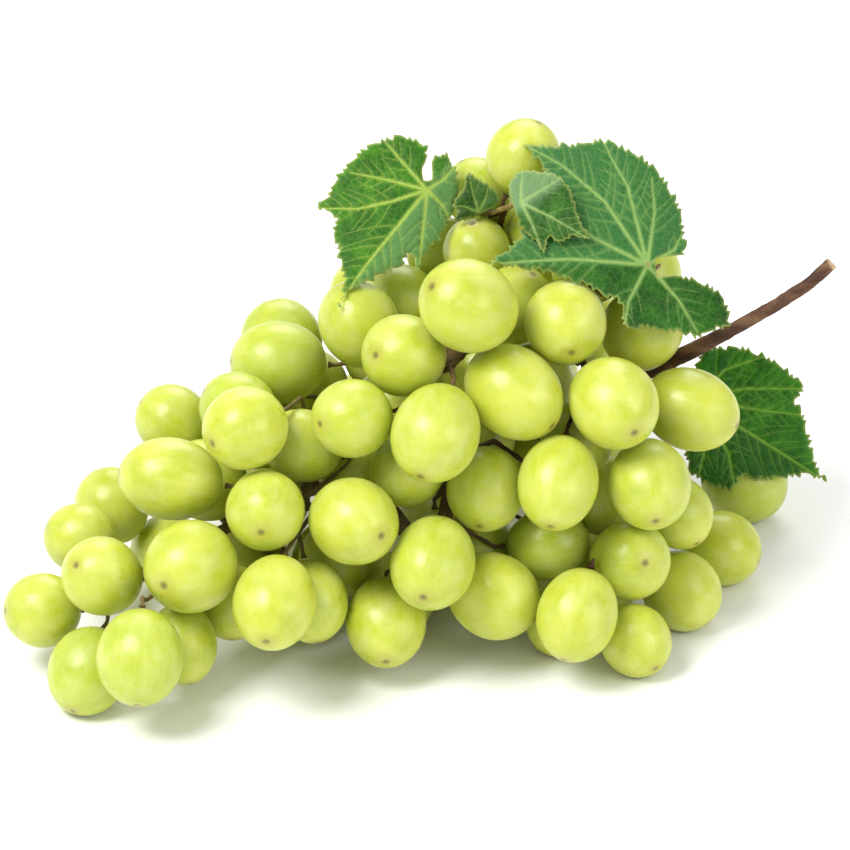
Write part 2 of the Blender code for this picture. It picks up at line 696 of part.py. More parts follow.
def grow_twigs(pack, rng):
    """Join every berry and the knot to the stem, always the nearest first, by clear ways."""
    trunk = main_stem_points()
    seats = [lead_out(pack, row, 3.0) for row in range(len(pack.centre))]
    roots = [leaf_root(leaf) for leaf in LEAVES if leaf.rooted]
    ends = np.array(seats + [knot_place(pack)] + roots)
    inner = channel_points(pack, ends[len(seats):], rng)
    points = np.vstack([trunk[:, :3], ends, inner[below_leaves(inner)]])
    first_end = len(trunk)
    links = link_points(pack, points, range(first_end, first_end + len(ends)))
    twigs = Twigs()
    for number, row in enumerate(trunk):
        twigs.add(row[:3], number - 1, row[3])
    known = {number: number for number in range(FIRST_BRANCH, len(trunk))}
    waiting = list(range(first_end, first_end + len(seats) + 1))
    tips = {}
    while waiting:
        sources = [point for point in known if point < first_end or point >= first_end + len(ends)]
        parent, cost = shortest_ways(points, sources, links)
        end = min(waiting, key=lambda point: cost[point])
        waiting.remove(end)
        if cost[end] > 1e8:
            continue
        way = [end]
        while way[-1] not in known:
            way.append(int(parent[way[-1]]))
        for point in reversed(way[:-1]):
            known[point] = twigs.add(points[point], known[int(parent[point])], TWIG_RADIUS)
        tips[end - first_end] = known[end]
    parent, cost = shortest_ways(points, list(known), links)
    ways = []
    for end in range(first_end + len(seats) + 1, first_end + len(ends)):
        way = [end]
        while way[-1] not in known and parent[way[-1]] >= 0:
            way.append(int(parent[way[-1]]))
        ways.append(points[way])
    return twigs, len(trunk), tips, ways


def knot_place(pack):
    """The knot that carries the two small leaves stands just in front of the berries."""
    across, up = KNOT
    front = front_of_berries(pack, range(len(pack.centre)), np.array(across), np.array(up), 0.0)
    return to_world(across, up, float(front) + KNOT_RADIUS + 1.2)


def leaf_root(leaf):
    """Where a leaf's stalk leaves the back of its blade."""
    return to_world(leaf.joint[0], leaf.joint[1], leaf.out - 3.0)


def relax_twigs(pack, twigs, trunk_count, tips):
    """Straighten the ways a little where that keeps them clear of the berries."""
    fixed = set(range(trunk_count)) | set(tips.values())
    for _ in range(12):
        near = [[] for _ in twigs.points]
        for child, parent in enumerate(twigs.parent):
            if parent >= 0:
                near[child].append(parent)
                near[parent].append(child)
        for point in range(trunk_count, len(twigs.points)):
            if point in fixed:
                continue
            middle = np.mean([twigs.points[other] for other in near[point]], axis=0)
            goal = 0.5 * twigs.points[point] + 0.5 * middle
            if not below_leaves(goal[None])[0]:
                continue
            if all(clear_line(pack, goal, twigs.points[other], TWIG_CHANNEL - 0.05)
                   for other in near[point]):
                twigs.points[point] = goal


def thin_twigs(pack, twigs, trunk_count, tips):
    """Leave out points between two others where the straight way past them is clear."""
    kept_ends = set(tips.values())
    children = [[] for _ in twigs.points]
    for child, parent in enumerate(twigs.parent):
        if parent >= 0:
            children[parent].append(child)
    for point in range(trunk_count, len(twigs.points)):
        parent = twigs.parent[point]
        if point in kept_ends or len(children[point]) != 1:
            continue
        child = children[point][0]
        span = np.linalg.norm(twigs.points[child] - twigs.points[parent])
        if span < 16 and clear_line(pack, twigs.points[parent], twigs.points[child],
                                    TWIG_CHANNEL - 0.05):
            twigs.parent[child] = parent
            children[parent] = [child if other == point else other for other in children[parent]]
            children[point] = []
            twigs.parent[point] = -2


def thicken_twigs(pack, twigs, trunk_count, tips):
    """Make each branch thicker the more berries it carries, as far as there is room."""
    load = np.zeros(len(twigs.points))
    for tip in tips.values():
        point = tip
        while point >= trunk_count:
            load[point] += 1
            point = twigs.parent[point]
    room = pack.clearance(np.array(twigs.points)) - GAP
    for point in range(trunk_count, len(twigs.points)):
        wish = TWIG_RADIUS * max(load[point], 1) ** 0.35
        twigs.radius[point] = float(np.clip(wish, TWIG_RADIUS, max(room[point], TWIG_RADIUS)))
    return load


def twig_runs(twigs, trunk_count, load):
    """Split the tree into runs: each follows its heaviest branch from a fork to an end."""
    children = [[] for _ in twigs.points]
    for child, parent in enumerate(twigs.parent):
        if parent >= 0:
            children[parent].append(child)
    runs = []
    starts = [(p, c) for p in range(trunk_count) for c in children[p] if c >= trunk_count]
    while starts:
        parent, child = starts.pop()
        run = [parent, child]
        while children[run[-1]]:
            branches = sorted(children[run[-1]], key=lambda other: -load[other])
            starts += [(run[-1], other) for other in branches[1:]]
            run.append(branches[0])
        runs.append(run)
    return runs


# ---- solids ----
def material(name, colour, roughness):
    """A plain Principled material."""
    made = bpy.data.materials.new(name)
    made.use_nodes = True
    shader = made.node_tree.nodes["Principled BSDF"]
    shader.inputs["Base Color"].default_value = (*colour, 1.0)
    shader.inputs["Roughness"].default_value = roughness
    shader.inputs["Metallic"].default_value = 0.0
    made.diffuse_color = (*colour, 1.0)
    return made


def solid(name, points, faces, place, finish):
    """A closed mesh object; its points are relative to `place`, all in millimetres."""
    form = bmesh.new()
    verts = [form.verts.new(Vector(point) * MM) for point in points]
    for face in faces:
        form.faces.new([verts[corner] for corner in face])
    bmesh.ops.recalc_face_normals(form, faces=form.faces)
    return mesh_object(name, form, place, finish)


def mesh_object(name, form, place, finish):
    """Turn a bmesh in metres into an object at `place`, shaded smooth."""
    mesh = bpy.data.meshes.new(name)
    form.to_mesh(mesh)
    form.free()
    mesh.shade_smooth()
    mesh.materials.append(finish)
    made = bpy.data.objects.new(name, mesh)
    made.location = Vector(place) * MM
    bpy.context.scene.collection.objects.link(made)
    return made


def join_solids(name, pieces, place, finish):
    """Unite overlapping closed objects into one solid."""
    others = bpy.data.collections.new(name + "_pieces")
    bpy.context.scene.collection.children.link(others)
    for piece in pieces[1:]:
        others.objects.link(piece)
        bpy.context.scene.collection.objects.unlink(piece)
    union = pieces[0].modifiers.new("union", "BOOLEAN")
    union.operation = "UNION"
    union.operand_type = "COLLECTION"
    union.collection = others
    union.solver = "EXACT"
    union.use_self = True
    bpy.context.view_layer.update()
    shaped = pieces[0].evaluated_get(bpy.context.evaluated_depsgraph_get())
    form = bmesh.new()
    form.from_mesh(shaped.to_mesh())
    form.transform(pieces[0].matrix_world)
    form.transform(Matrix.Translation(-Vector(place) * MM))
    bmesh.ops.remove_doubles(form, verts=form.verts, dist=WELD * MM)
    for piece in pieces:
        bpy.data.objects.remove(piece)
    bpy.data.collections.remove(others)
    return mesh_object(name, form, place, finish)


def berry_shape(radius, half):
    """Rings of a berry from its free tip at +Z to a small flat seat for its pedicel."""
    points = [(0, 0, half)]
    turns = [math.pi * ring / BERRY_RINGS for ring in range(1, BERRY_RINGS)]
    turns.append(math.pi - math.asin(SEAT_RADIUS / radius))
    for turn in turns:
        for side in range(BERRY_SIDES):
            angle = 2 * math.pi * side / BERRY_SIDES
            wide = radius * math.sin(turn)
            points.append((wide * math.cos(angle), wide * math.sin(angle), half * math.cos(turn)))
    faces = []
    for side in range(BERRY_SIDES):
        after = (side + 1) % BERRY_SIDES
        faces.append((0, 1 + side, 1 + after))
        for ring in range(len(turns) - 1):
            upper = 1 + ring * BERRY_SIDES
            lower = upper + BERRY_SIDES
            faces.append((upper + side, lower + side, lower + after, upper + after))
    last = 1 + (len(turns) - 1) * BERRY_SIDES
    faces.append(tuple(last + side for side in range(BERRY_SIDES)))
    return points, faces


def berry_object(name, pack, row, finish):
    """One berry, cut flat where it is pressed on the table."""
    points, faces = berry_shape(pack.radius[row], pack.half[row])
    made = solid(name, points, faces, pack.centre[row], finish)
    turned = Vector(pack.axis[row]).to_track_quat("Z", "Y")
    made.rotation_mode = "QUATERNION"
    made.rotation_quaternion = turned
    low = pack.centre[row][2] - pack.reach([row], np.array([[0, 0, 1.0]]))[0]
    if low < 0:
        press_flat(made.data, turned, pack.centre[row][2])
    return made


def press_flat(mesh, turned, height):
    """Cut a berry's mesh at the table and close the cut."""
    form = bmesh.new()
    form.from_mesh(mesh)
    upward = turned.inverted() @ Vector((0, 0, 1))
    bmesh.ops.bisect_plane(form, geom=form.verts[:] + form.edges[:] + form.faces[:],
                           dist=1e-7, plane_co=-upward * height * MM, plane_no=-upward,
                           clear_outer=True)
    rim = [edge for edge in form.edges if edge.is_boundary]
    if rim:
        bmesh.ops.holes_fill(form, edges=rim, sides=0)
    form.to_mesh(mesh)
    form.free()
    mesh.shade_smooth()


def link_between(pack, first, second, finish):
    """A short neck where two neighbouring berries of a group press on each other."""
    normal, gap = pack.gaps(np.array([first]), np.array([second]))
    start = pack.centre[first] + pack.touch(np.array([first]), normal)[0] - normal[0] * LINK_DEPTH
    end = pack.centre[second] - pack.touch(np.array([second]), normal)[0] + normal[0] * LINK_DEPTH
    points, faces = tube([start, end], [LINK_RADIUS, LINK_RADIUS], 6)
    return solid("link", points, faces, (0, 0, 0), finish)


def link_cost(pack, first, second):
    """Gap between two berries, or a high value where the link would meet a free tip."""
    normal, gap = pack.gaps(np.array([first]), np.array([second]))
    lean = max(abs(normal[0] @ pack.axis[first]), abs(normal[0] @ pack.axis[second]))
    return float(gap[0]) + (100.0 if lean > 0.72 else 0.0)


def berry_groups(pack, rows):
    """Join neighbours by their shortest links into at most GROUPS groups of limited size."""
    links = sorted((link_cost(pack, a, b), a, b) for a in rows for b in rows
                   if a < b and np.linalg.norm(pack.centre[a] - pack.centre[b]) < 32)
    members = {row: [row] for row in rows}
    used = {row: [] for row in rows}
    for limit in (LARGEST_GROUP, 2 * LARGEST_GROUP):
        for cost, a, b in links:
            one, other = [next(key for key in members if row in members[key]) for row in (a, b)]
            large = len(members[one]) + len(members[other]) > limit
            if one == other or large or cost > LONGEST_LINK or len(members) <= GROUPS:
                continue
            members[one] += members.pop(other)
            used[one] += used.pop(other) + [(a, b)]
    return [(members[key], used[key]) for key in sorted(members)]


def tube(points, radii, sides):
    """A closed tube through the points, with flat ends."""
    points = np.array(points, dtype=float)
    runs = unit(np.diff(points, axis=0))
    headings = unit(np.vstack([runs[:1], runs[:-1] + runs[1:], runs[-1:]]))
    side = unit(np.cross(headings[0], (0.31, 0.52, 0.79)))
    rings = []
    for point, heading, radius in zip(points, headings, radii):
        side = unit(side - (side @ heading) * heading)
        other = np.cross(heading, side)
        angles = [2 * math.pi * step / sides for step in range(sides)]
        rings += [point + radius * (math.cos(a) * side + math.sin(a) * other) for a in angles]
    faces = [tuple(range(sides)), tuple(range(len(rings) - sides, len(rings)))]
    for ring in range(len(points) - 1):
        for step in range(sides):
            here = ring * sides + step
            after = ring * sides + (step + 1) % sides
            faces.append((here, after, after + sides, here + sides))
    return rings, faces


def stem_object(pack, twigs, trunk_count, tips, load, finish):
    """The whole stem: the main stem, its branches, a pedicel for each berry, and the knot."""
    rings, faces = tube(twigs.points[:trunk_count], twigs.radius[:trunk_count], STEM_SIDES)
    pieces = [solid("trunk", rings, faces, (0, 0, 0), finish)]
    ends = {tip: end for end, tip in tips.items()}
    for run in twig_runs(twigs, trunk_count, load):
        points = [twigs.points[point] for point in run]
        radii = [twigs.radius[point] for point in run]
        radii[0] = min(radii[0], radii[1] * 1.2)
        end = ends.get(run[-1])
        if end is not None and end < len(pack.centre):
            points += [lead_out(pack, end, 1.4), lead_out(pack, end, GAP)]
            radii += [TWIG_RADIUS, COLLAR_RADIUS]
        elif end is not None:
            radii[-1] = KNOT_RADIUS
        rings, faces = tube(points, radii, TWIG_SIDES)
        pieces.append(solid("twig", rings, faces, (0, 0, 0), finish))
    return join_solids("stem", pieces, (0, 0, 0), finish)


def blade_shape(leaf):
    """The leaf's two faces and its rim, relative to the joint, in world directions."""
    grid = leaf.places(BLADE_RINGS)
    height = leaf.height(grid[..., 0], grid[..., 1])
    origin = leaf.height(0.0, 0.0)
    count = grid.shape[1]
    points = []
    for offset in (BLADE / 2, -BLADE / 2):
        points.append(to_world(0, 0, origin + offset))
        for ring in range(len(BLADE_RINGS)):
            for (across, up), out in zip(grid[ring], height[ring]):
                points.append(to_world(across, up, out + offset))
    faces = []
    layer = 1 + len(BLADE_RINGS) * count
    for base in (0, layer):
        for step in range(count - 1):
            faces.append((base, base + 1 + step, base + 2 + step))
            for ring in range(len(BLADE_RINGS) - 1):
                inner = base + 1 + ring * count + step
                outer = inner + count
                faces.append((inner, outer, outer + 1, inner + 1))
    rim = [0] + [1 + ring * count for ring in range(len(BLADE_RINGS))]
    last = layer - count
    rim += [last + step for step in range(1, count)]
    rim += [ring * count for ring in range(len(BLADE_RINGS) - 1, 0, -1)]
    for here, after in zip(rim, rim[1:] + rim[:1]):
        faces.append((here, after, after + layer, here + layer))
    return points, faces


def distance_to_line(point, start, end):
    """Distance from a point to a straight line between two others."""
    run = end - start
    share = np.clip((point - start) @ run / max(run @ run, 1e-9), 0, 1)
    return float(np.linalg.norm(point - start - share * run))


def trimmed_way(way, twigs):
    """A leaf stalk's way from the blade, stopped where it meets the stem."""
    lines = [(twigs.points[child], twigs.points[parent],
              max(twigs.radius[child], twigs.radius[parent]))
             for child, parent in enumerate(twigs.parent) if parent >= 0]
    kept = [way[0]]
    for start, end in zip(way[:-1], way[1:]):
        steps = max(2, int(np.linalg.norm(end - start) / 0.5))
        for step in range(1, steps + 1):
            point = start + (end - start) * step / steps
            near = min(distance_to_line(point, a, b) - radius for a, b, radius in lines)
            if near < STALK_RADIUS + GAP + 0.4:
                kept.append(point)
                return kept
        kept.append(end)
    return kept


def leaf_object(leaf, way, finish):
    """A leaf's blade with its stalk."""
    place = to_world(leaf.joint[0], leaf.joint[1], leaf.out)
    points, faces = blade_shape(leaf)
    blade = solid("blade", points, faces, place, finish)
    start = to_world(leaf.joint[0], leaf.joint[1], leaf.out)
    route = [start] + list(way)
    keep = [route[0]]
    for point in route[1:]:
        if np.linalg.norm(point - keep[-1]) > 0.8:
            keep.append(point)
    rings, faces = tube(keep, [STALK_RADIUS] * len(keep), TWIG_SIDES)
    stalk = solid("stalk", rings, faces, (0, 0, 0), finish)
    return join_solids(leaf.name, [blade, stalk], place, finish)


def main():
    """Build the bunch, centred on the origin and resting on Z = 0."""
    for old in list(bpy.data.objects):
        bpy.data.objects.remove(old)
    pack = Pack()
    add_front_berries(pack)
    front = len(pack.centre)
    add_rear_berries(pack, np.random.default_rng(SEED))
    pack.freeze()
    settle_with_seats(pack, front)
    place_leaves(pack)
    twigs, trunk_count, tips, ways = grow_twigs(pack, np.random.default_rng(SEED))
    relax_twigs(pack, twigs, trunk_count, tips)
    thin_twigs(pack, twigs, trunk_count, tips)
    load = thicken_twigs(pack, twigs, trunk_count, tips)

    skin = material("grape_skin", (0.62, 0.70, 0.16), 0.35)
    bark = material("stem_bark", (0.14, 0.07, 0.025), 0.75)
    green = material("leaf_green", (0.06, 0.22, 0.04), 0.5)
    made = [stem_object(pack, twigs, trunk_count, tips, load, bark)]
    made += berry_objects(pack, front, skin)
    knot = twigs.points[tips[len(pack.centre)]]
    ways = iter(ways)
    for leaf in LEAVES:
        way = next(ways) if leaf.rooted else [knot]
        made.append(leaf_object(leaf, trimmed_way(stalk_start(leaf, way), twigs), green))
    centre_bunch(made)


def stalk_start(leaf, way):
    """The stalk's way from just behind the blade."""
    return [leaf_root(leaf)] + [np.array(point) for point in way if
                                np.linalg.norm(point - leaf_root(leaf)) > 0.5]


def place_leaves(pack):
    """Lay down each leaf in turn, from the back to the front."""
    laid = []
    out = pack.centre @ TO_WORLD[:, 2]
    for leaf in LEAVES:
        rows = np.flatnonzero(out < leaf.over)
        place_leaf(leaf, pack, rows, laid)
        laid.append(leaf)


def berry_objects(pack, front, finish):
    """The outermost front berries one by one, and all others in groups."""
    tucks = [-9 if row[2] is None else row[2] for row in FRONT_BERRIES]
    outermost = sorted(range(front), key=lambda row: tucks[row])[:SINGLE_BERRIES]
    made = []
    for number, row in enumerate(sorted(outermost), start=1):
        made.append(berry_object(f"berry_{number:02d}", pack, row, finish))
    others = [row for row in range(len(pack.centre)) if row not in outermost]
    for number, (members, links) in enumerate(berry_groups(pack, others), start=1):
        pieces = [berry_object("berry", pack, row, finish) for row in members]
        pieces += [link_between(pack, a, b, finish) for a, b in links]
        place = pack.centre[members[0]]
        made.append(join_solids(f"rear_berries_{number:02d}", pieces, place, finish))
    return made


def centre_bunch(made):
    """Hang every piece on one empty and centre their common box on the origin."""
    bpy.context.view_layer.update()
    corners = [piece.matrix_world @ vertex.co for piece in made for vertex in piece.data.vertices]
    middle = [(min(c[k] for c in corners) + max(c[k] for c in corners)) / 2 for k in (0, 1)]
    bunch = bpy.data.objects.new("bunch", None)
    bpy.context.scene.collection.objects.link(bunch)
    bunch.location = (-middle[0], -middle[1], 0)
    for piece in made:
        piece.parent = bunch


main()
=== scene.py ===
import math
import random

import bpy
import bmesh
import numpy as np
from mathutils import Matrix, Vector, geometry, noise


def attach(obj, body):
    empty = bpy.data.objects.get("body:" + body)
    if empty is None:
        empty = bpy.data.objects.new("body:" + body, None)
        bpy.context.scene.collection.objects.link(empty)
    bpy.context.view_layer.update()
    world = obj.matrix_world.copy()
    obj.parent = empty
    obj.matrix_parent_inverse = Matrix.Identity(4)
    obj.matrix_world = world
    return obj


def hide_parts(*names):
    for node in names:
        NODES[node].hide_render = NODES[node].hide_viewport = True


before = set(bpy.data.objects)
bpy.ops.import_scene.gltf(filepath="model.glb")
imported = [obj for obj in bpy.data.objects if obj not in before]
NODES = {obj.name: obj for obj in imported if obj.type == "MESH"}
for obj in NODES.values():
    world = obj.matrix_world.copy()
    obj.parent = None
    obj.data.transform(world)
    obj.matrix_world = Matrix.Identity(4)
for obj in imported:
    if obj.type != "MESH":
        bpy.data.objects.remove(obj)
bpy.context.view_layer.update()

MM = 0.001
LEAN = math.radians(30)
SIN, COS = math.sin(LEAN), math.cos(LEAN)


def to_world(across, up, out):
    """A place on the slope that leans back, in metres."""
    return np.array([across, up * SIN - out * COS, up * COS + out * SIN]) * MM


# ---------------------------------------------------------------- materials
def new_material(name, roughness, sss=0.0, radius=(0.004, 0.004, 0.001), specular=0.5, coat=0.0):
    """A Principled material that gives back itself, its node tree and its shader."""
    mat = bpy.data.materials.new(name)
    mat.use_nodes = True
    tree = mat.node_tree
    shader = tree.nodes["Principled BSDF"]
    shader.inputs["Roughness"].default_value = roughness
    shader.inputs["Specular IOR Level"].default_value = specular
    shader.inputs["Subsurface Weight"].default_value = sss
    shader.inputs["Subsurface Radius"].default_value = radius
    shader.inputs["Subsurface Scale"].default_value = 1.0
    shader.inputs["Coat Weight"].default_value = coat
    return mat, tree, shader


def node(tree, kind, **inputs):
    """Adds a node and sets its inputs, named with _ for a space."""
    made = tree.nodes.new(kind)
    for key, value in inputs.items():
        made.inputs[key.replace("_", " ")].default_value = value
    return made


def attribute(tree, name):
    """Reads a value that a mesh carries on its points."""
    made = tree.nodes.new("ShaderNodeAttribute")
    made.attribute_name = name
    return made


def noise_node(tree, vector, scale, detail=2.0, rough=0.5):
    """Soft noise over a place."""
    made = node(tree, "ShaderNodeTexNoise", Scale=scale, Detail=detail, Roughness=rough)
    if vector is not None:
        tree.links.new(vector, made.inputs["Vector"])
    return made


def ramp(tree, source, stops):
    """A colour ramp: stops are (position, colour)."""
    made = tree.nodes.new("ShaderNodeValToRGB")
    tree.links.new(source, made.inputs["Fac"])
    elements = made.color_ramp.elements
    while len(elements) > 1:
        elements.remove(elements[-1])
    elements[0].position = stops[0][0]
    elements[0].color = tuple(stops[0][1]) + (1,)
    for position, colour in stops[1:]:
        element = elements.new(position)
        element.color = tuple(colour) + (1,)
    return made


def grey(value):
    """A plain grey colour."""
    return (value, value, value)


def mix(tree, factor, first, second, kind="MIX"):
    """Mix two colours; each may be a socket or a plain colour."""
    made = tree.nodes.new("ShaderNodeMix")
    made.data_type = "RGBA"
    made.blend_type = kind
    for socket, value in ((made.inputs[0], factor), (made.inputs[6], first), (made.inputs[7], second)):
        if isinstance(value, bpy.types.NodeSocket):
            tree.links.new(value, socket)
        elif isinstance(value, tuple):
            socket.default_value = tuple(value) + (1,)
        else:
            socket.default_value = value
    return made.outputs[2]


def math_node(tree, operation, first, second=0.0):
    """One sum, with sockets or plain numbers."""
    made = tree.nodes.new("ShaderNodeMath")
    made.operation = operation
    for socket, value in zip(made.inputs, (first, second)):
        if isinstance(value, bpy.types.NodeSocket):
            tree.links.new(value, socket)
        else:
            socket.default_value = value
    return made.outputs[0]


def bump(tree, shader, height, strength, distance):
    """Fine relief, in metres."""
    made = node(tree, "ShaderNodeBump", Strength=strength, Distance=distance)
    tree.links.new(height, made.inputs["Height"])
    tree.links.new(made.outputs["Normal"], shader.inputs["Normal"])


def berry_material():
    """Pale green skin: cloudy, faintly veined, with bloom, specks and a brown dot at the tip."""
    mat, tree, shader = new_material("berry skin", 0.30, 0.85, (0.0042, 0.0046, 0.0009), 0.5)
    local = attribute(tree, "berry_place").outputs["Vector"]
    tone = attribute(tree, "berry_tone").outputs["Fac"]
    pole = attribute(tree, "berry_pole").outputs["Fac"]
    cloud = noise_node(tree, local, 1.3, 3.0).outputs["Fac"]
    base = ramp(tree, cloud, ((0.25, (0.42, 0.48, 0.030)), (0.50, (0.52, 0.57, 0.055)),
                              (0.78, (0.61, 0.64, 0.12)))).outputs["Color"]
    green = mix(tree, tone, base, (0.36, 0.48, 0.045))
    # fine pale veins that run from end to end
    stretched = attribute(tree, "berry_veins").outputs["Vector"]
    lines = noise_node(tree, stretched, 3.0, 4.0, 0.6).outputs["Fac"]
    veins = ramp(tree, lines, ((0.50, grey(0.0)), (0.62, grey(1.0)),
                               (0.72, grey(0.0)))).outputs["Color"]
    veined = mix(tree, math_node(tree, "MULTIPLY", veins, 0.11), green, (0.70, 0.73, 0.28))
    # dull bloom in soft patches
    patches = noise_node(tree, local, 2.2, 4.0, 0.62).outputs["Fac"]
    bloom = ramp(tree, patches, ((0.42, grey(0.0)), (0.80, grey(0.38)))).outputs["Color"]
    bloomed = mix(tree, bloom, veined, (0.70, 0.72, 0.36))
    # small brown specks
    dots = node(tree, "ShaderNodeTexVoronoi", Scale=4.2, Randomness=1.0)
    tree.links.new(local, dots.inputs["Vector"])
    near = ramp(tree, dots.outputs["Distance"], ((0.0, grey(1.0)), (0.045, grey(0.8)),
                                                 (0.085, grey(0.0)))).outputs["Color"]
    rare = ramp(tree, noise_node(tree, local, 1.9, 1.0).outputs["Fac"],
                ((0.50, grey(0.0)), (0.58, grey(1.0)))).outputs["Color"]
    speck = math_node(tree, "MULTIPLY", near, rare)
    specked = mix(tree, math_node(tree, "MULTIPLY", speck, 0.75), bloomed, (0.16, 0.11, 0.015))
    # tiny brown dot at the free tip, with a soft yellow ring, and a brownish seat at the stem end
    halo = ramp(tree, pole, ((0.965, grey(0.0)), (0.992, grey(0.30)))).outputs["Color"]
    haloed = mix(tree, halo, specked, (0.40, 0.32, 0.06))
    tip = ramp(tree, pole, ((0.9972, grey(0.0)), (0.9990, grey(0.9)))).outputs["Color"]
    tipped = mix(tree, tip, haloed, (0.13, 0.075, 0.025))
    seat = ramp(tree, pole, ((0.004, grey(0.8)), (0.016, grey(0.0)))).outputs["Color"]
    seated = mix(tree, seat, tipped, (0.30, 0.26, 0.07))
    tree.links.new(seated, shader.inputs["Base Color"])
    rough = ramp(tree, patches, ((0.3, grey(0.25)), (0.7, grey(0.40)))).outputs["Color"]
    tree.links.new(rough, shader.inputs["Roughness"])
    fine = noise_node(tree, local, 14.0, 3.0, 0.6).outputs["Fac"]
    relief = math_node(tree, "ADD", fine, math_node(tree, "MULTIPLY", veins, 0.5))
    bump(tree, shader, relief, 0.25, 0.00012)
    return mat


def bark_material():
    """Brown bark, greener on young twigs and pale where the stem is cut."""
    mat, tree, shader = new_material("stem bark", 0.68, 0.0, specular=0.3)
    place = node(tree, "ShaderNodeTexCoord").outputs["Object"]
    long_way = node(tree, "ShaderNodeMapping")
    long_way.inputs["Scale"].default_value = (0.35, 1.0, 1.0)
    tree.links.new(place, long_way.inputs["Vector"])
    coarse = noise_node(tree, long_way.outputs["Vector"], 190.0, 4.0, 0.6).outputs["Fac"]
    colour = ramp(tree, coarse, ((0.30, (0.030, 0.012, 0.007)), (0.48, (0.075, 0.032, 0.016)),
                                 (0.62, (0.150, 0.075, 0.036)),
                                 (0.78, (0.26, 0.16, 0.08)))).outputs["Color"]
    fine = noise_node(tree, place, 900.0, 5.0, 0.65).outputs["Fac"]
    flecked = mix(tree, ramp(tree, fine, ((0.58, grey(0.0)), (0.72, grey(0.7)))).outputs["Color"],
                  colour, (0.06, 0.03, 0.018))
    young = attribute(tree, "young").outputs["Fac"]
    green = mix(tree, math_node(tree, "MULTIPLY", young, 0.75), flecked, (0.20, 0.17, 0.045))
    cut = attribute(tree, "cut").outputs["Fac"]
    pale = ramp(tree, fine, ((0.35, (0.34, 0.22, 0.11)), (0.65, (0.62, 0.47, 0.28)))).outputs["Color"]
    ended = mix(tree, cut, green, pale)
    tree.links.new(ended, shader.inputs["Base Color"])
    bump(tree, shader, math_node(tree, "ADD", coarse, math_node(tree, "MULTIPLY", fine, 0.4)), 0.7, 0.00035)
    return mat


def leaf_material(name, light, mid, dark, painted_light_tone, vein_tone):
    """A vine leaf's skin: green cells between pale veins, with a paler margin, and a painted light tone over
    one half of the blade (painted sheen on most leaves, painted shade on leaf_right).
    """
    mat, tree, shader = new_material(name, 0.52, 0.05, (0.0008, 0.0016, 0.0003), 0.20)
    place = attribute(tree, "leaf_place").outputs["Vector"]
    vein = attribute(tree, "vein").outputs["Fac"]
    # Painted light: how much of the painted sheen tone (painted shade on leaf_right) each point takes.
    painted_light_mask = attribute(tree, "painted_light_mask").outputs["Fac"]
    margin = attribute(tree, "margin").outputs["Fac"]
    cells = node(tree, "ShaderNodeTexVoronoi", Scale=0.62, Randomness=0.9)
    cells.feature = "DISTANCE_TO_EDGE"
    tree.links.new(place, cells.inputs["Vector"])
    net = ramp(tree, cells.outputs["Distance"], ((0.0, grey(1.0)), (0.10, grey(0.25)),
                                                (0.2, grey(0.0)))).outputs["Color"]
    cloud = noise_node(tree, place, 0.16, 4.0, 0.6).outputs["Fac"]
    base = ramp(tree, cloud, ((0.3, dark), (0.5, mid), (0.72, light))).outputs["Color"]
    # Painted light: one half of the blade is mixed towards a painted sheen, or a painted shade on leaf_right.
    painted_light_base = mix(tree, painted_light_mask, base, painted_light_tone)
    netted = mix(tree, math_node(tree, "MULTIPLY", net, 0.10), painted_light_base, vein_tone)
    ribbed = mix(tree, math_node(tree, "MULTIPLY", vein, 0.85), netted, vein_tone)
    edged = mix(tree, math_node(tree, "MULTIPLY", margin, 0.55), ribbed, (0.42, 0.48, 0.12))
    tree.links.new(edged, shader.inputs["Base Color"])
    fine = noise_node(tree, place, 2.4, 4.0, 0.65).outputs["Fac"]
    height = math_node(tree, "SUBTRACT", math_node(tree, "MULTIPLY", fine, 0.5),
                       math_node(tree, "MULTIPLY", net, 0.7))
    bump(tree, shader, height, 0.45, 0.00018)
    return mat


# ---------------------------------------------------------------- mesh helpers
def mesh_object(name, points, faces, material):
    """A smooth-shaded object in the scene."""
    mesh = bpy.data.meshes.new(name)
    mesh.from_pydata([tuple(point) for point in points], [], faces)
    mesh.update()
    made = bpy.data.objects.new(name, mesh)
    bpy.context.scene.collection.objects.link(made)
    if material:
        mesh.materials.append(material)
    mesh.shade_smooth()
    return made


def point_values(mesh, name, values):
    """Puts one number or one place on each point of a mesh."""
    values = np.asarray(values, dtype=np.float32)
    if values.ndim == 1:
        layer = mesh.attributes.new(name, "FLOAT", "POINT")
        layer.data.foreach_set("value", values)
    else:
        layer = mesh.attributes.new(name, "FLOAT_VECTOR", "POINT")
        layer.data.foreach_set("vector", values.ravel())


def node_points(name):
    """A CAD node's vertices."""
    mesh = NODES[name].data
    flat = np.empty(len(mesh.vertices) * 3, dtype=np.float32)
    mesh.vertices.foreach_get("co", flat)
    return flat.reshape(-1, 3).astype(float)


def clean_copy(name):
    """A CAD node's mesh with doubled vertices merged."""
    work = bmesh.new()
    work.from_mesh(NODES[name].data)
    bmesh.ops.remove_doubles(work, verts=work.verts, dist=2e-6)
    work.verts.ensure_lookup_table()
    return work


def evaluated_mesh(made):
    """Applies an object's modifiers to a new mesh and gives it back."""
    graph = bpy.context.evaluated_depsgraph_get()
    mesh = bpy.data.meshes.new_from_object(made.evaluated_get(graph))
    made.modifiers.clear()
    made.data = mesh
    return made


# ---------------------------------------------------------------- berries
# A berry's solid: its sides, the turn between its rings, and the limits, in metres, that tell
# a berry from the other shapes in its node.
SIDES = 8
RING_TURN = math.radians(30)
UNEVEN = 4e-5
SMALLEST_DROP = 5e-4
RADII = (0.006, 0.016)
HALVES = (0.006, 0.020)
SEAT_SIZES = (0.0012, 0.0018)
SAME_BERRY = 0.003
FLAT = 0.99995


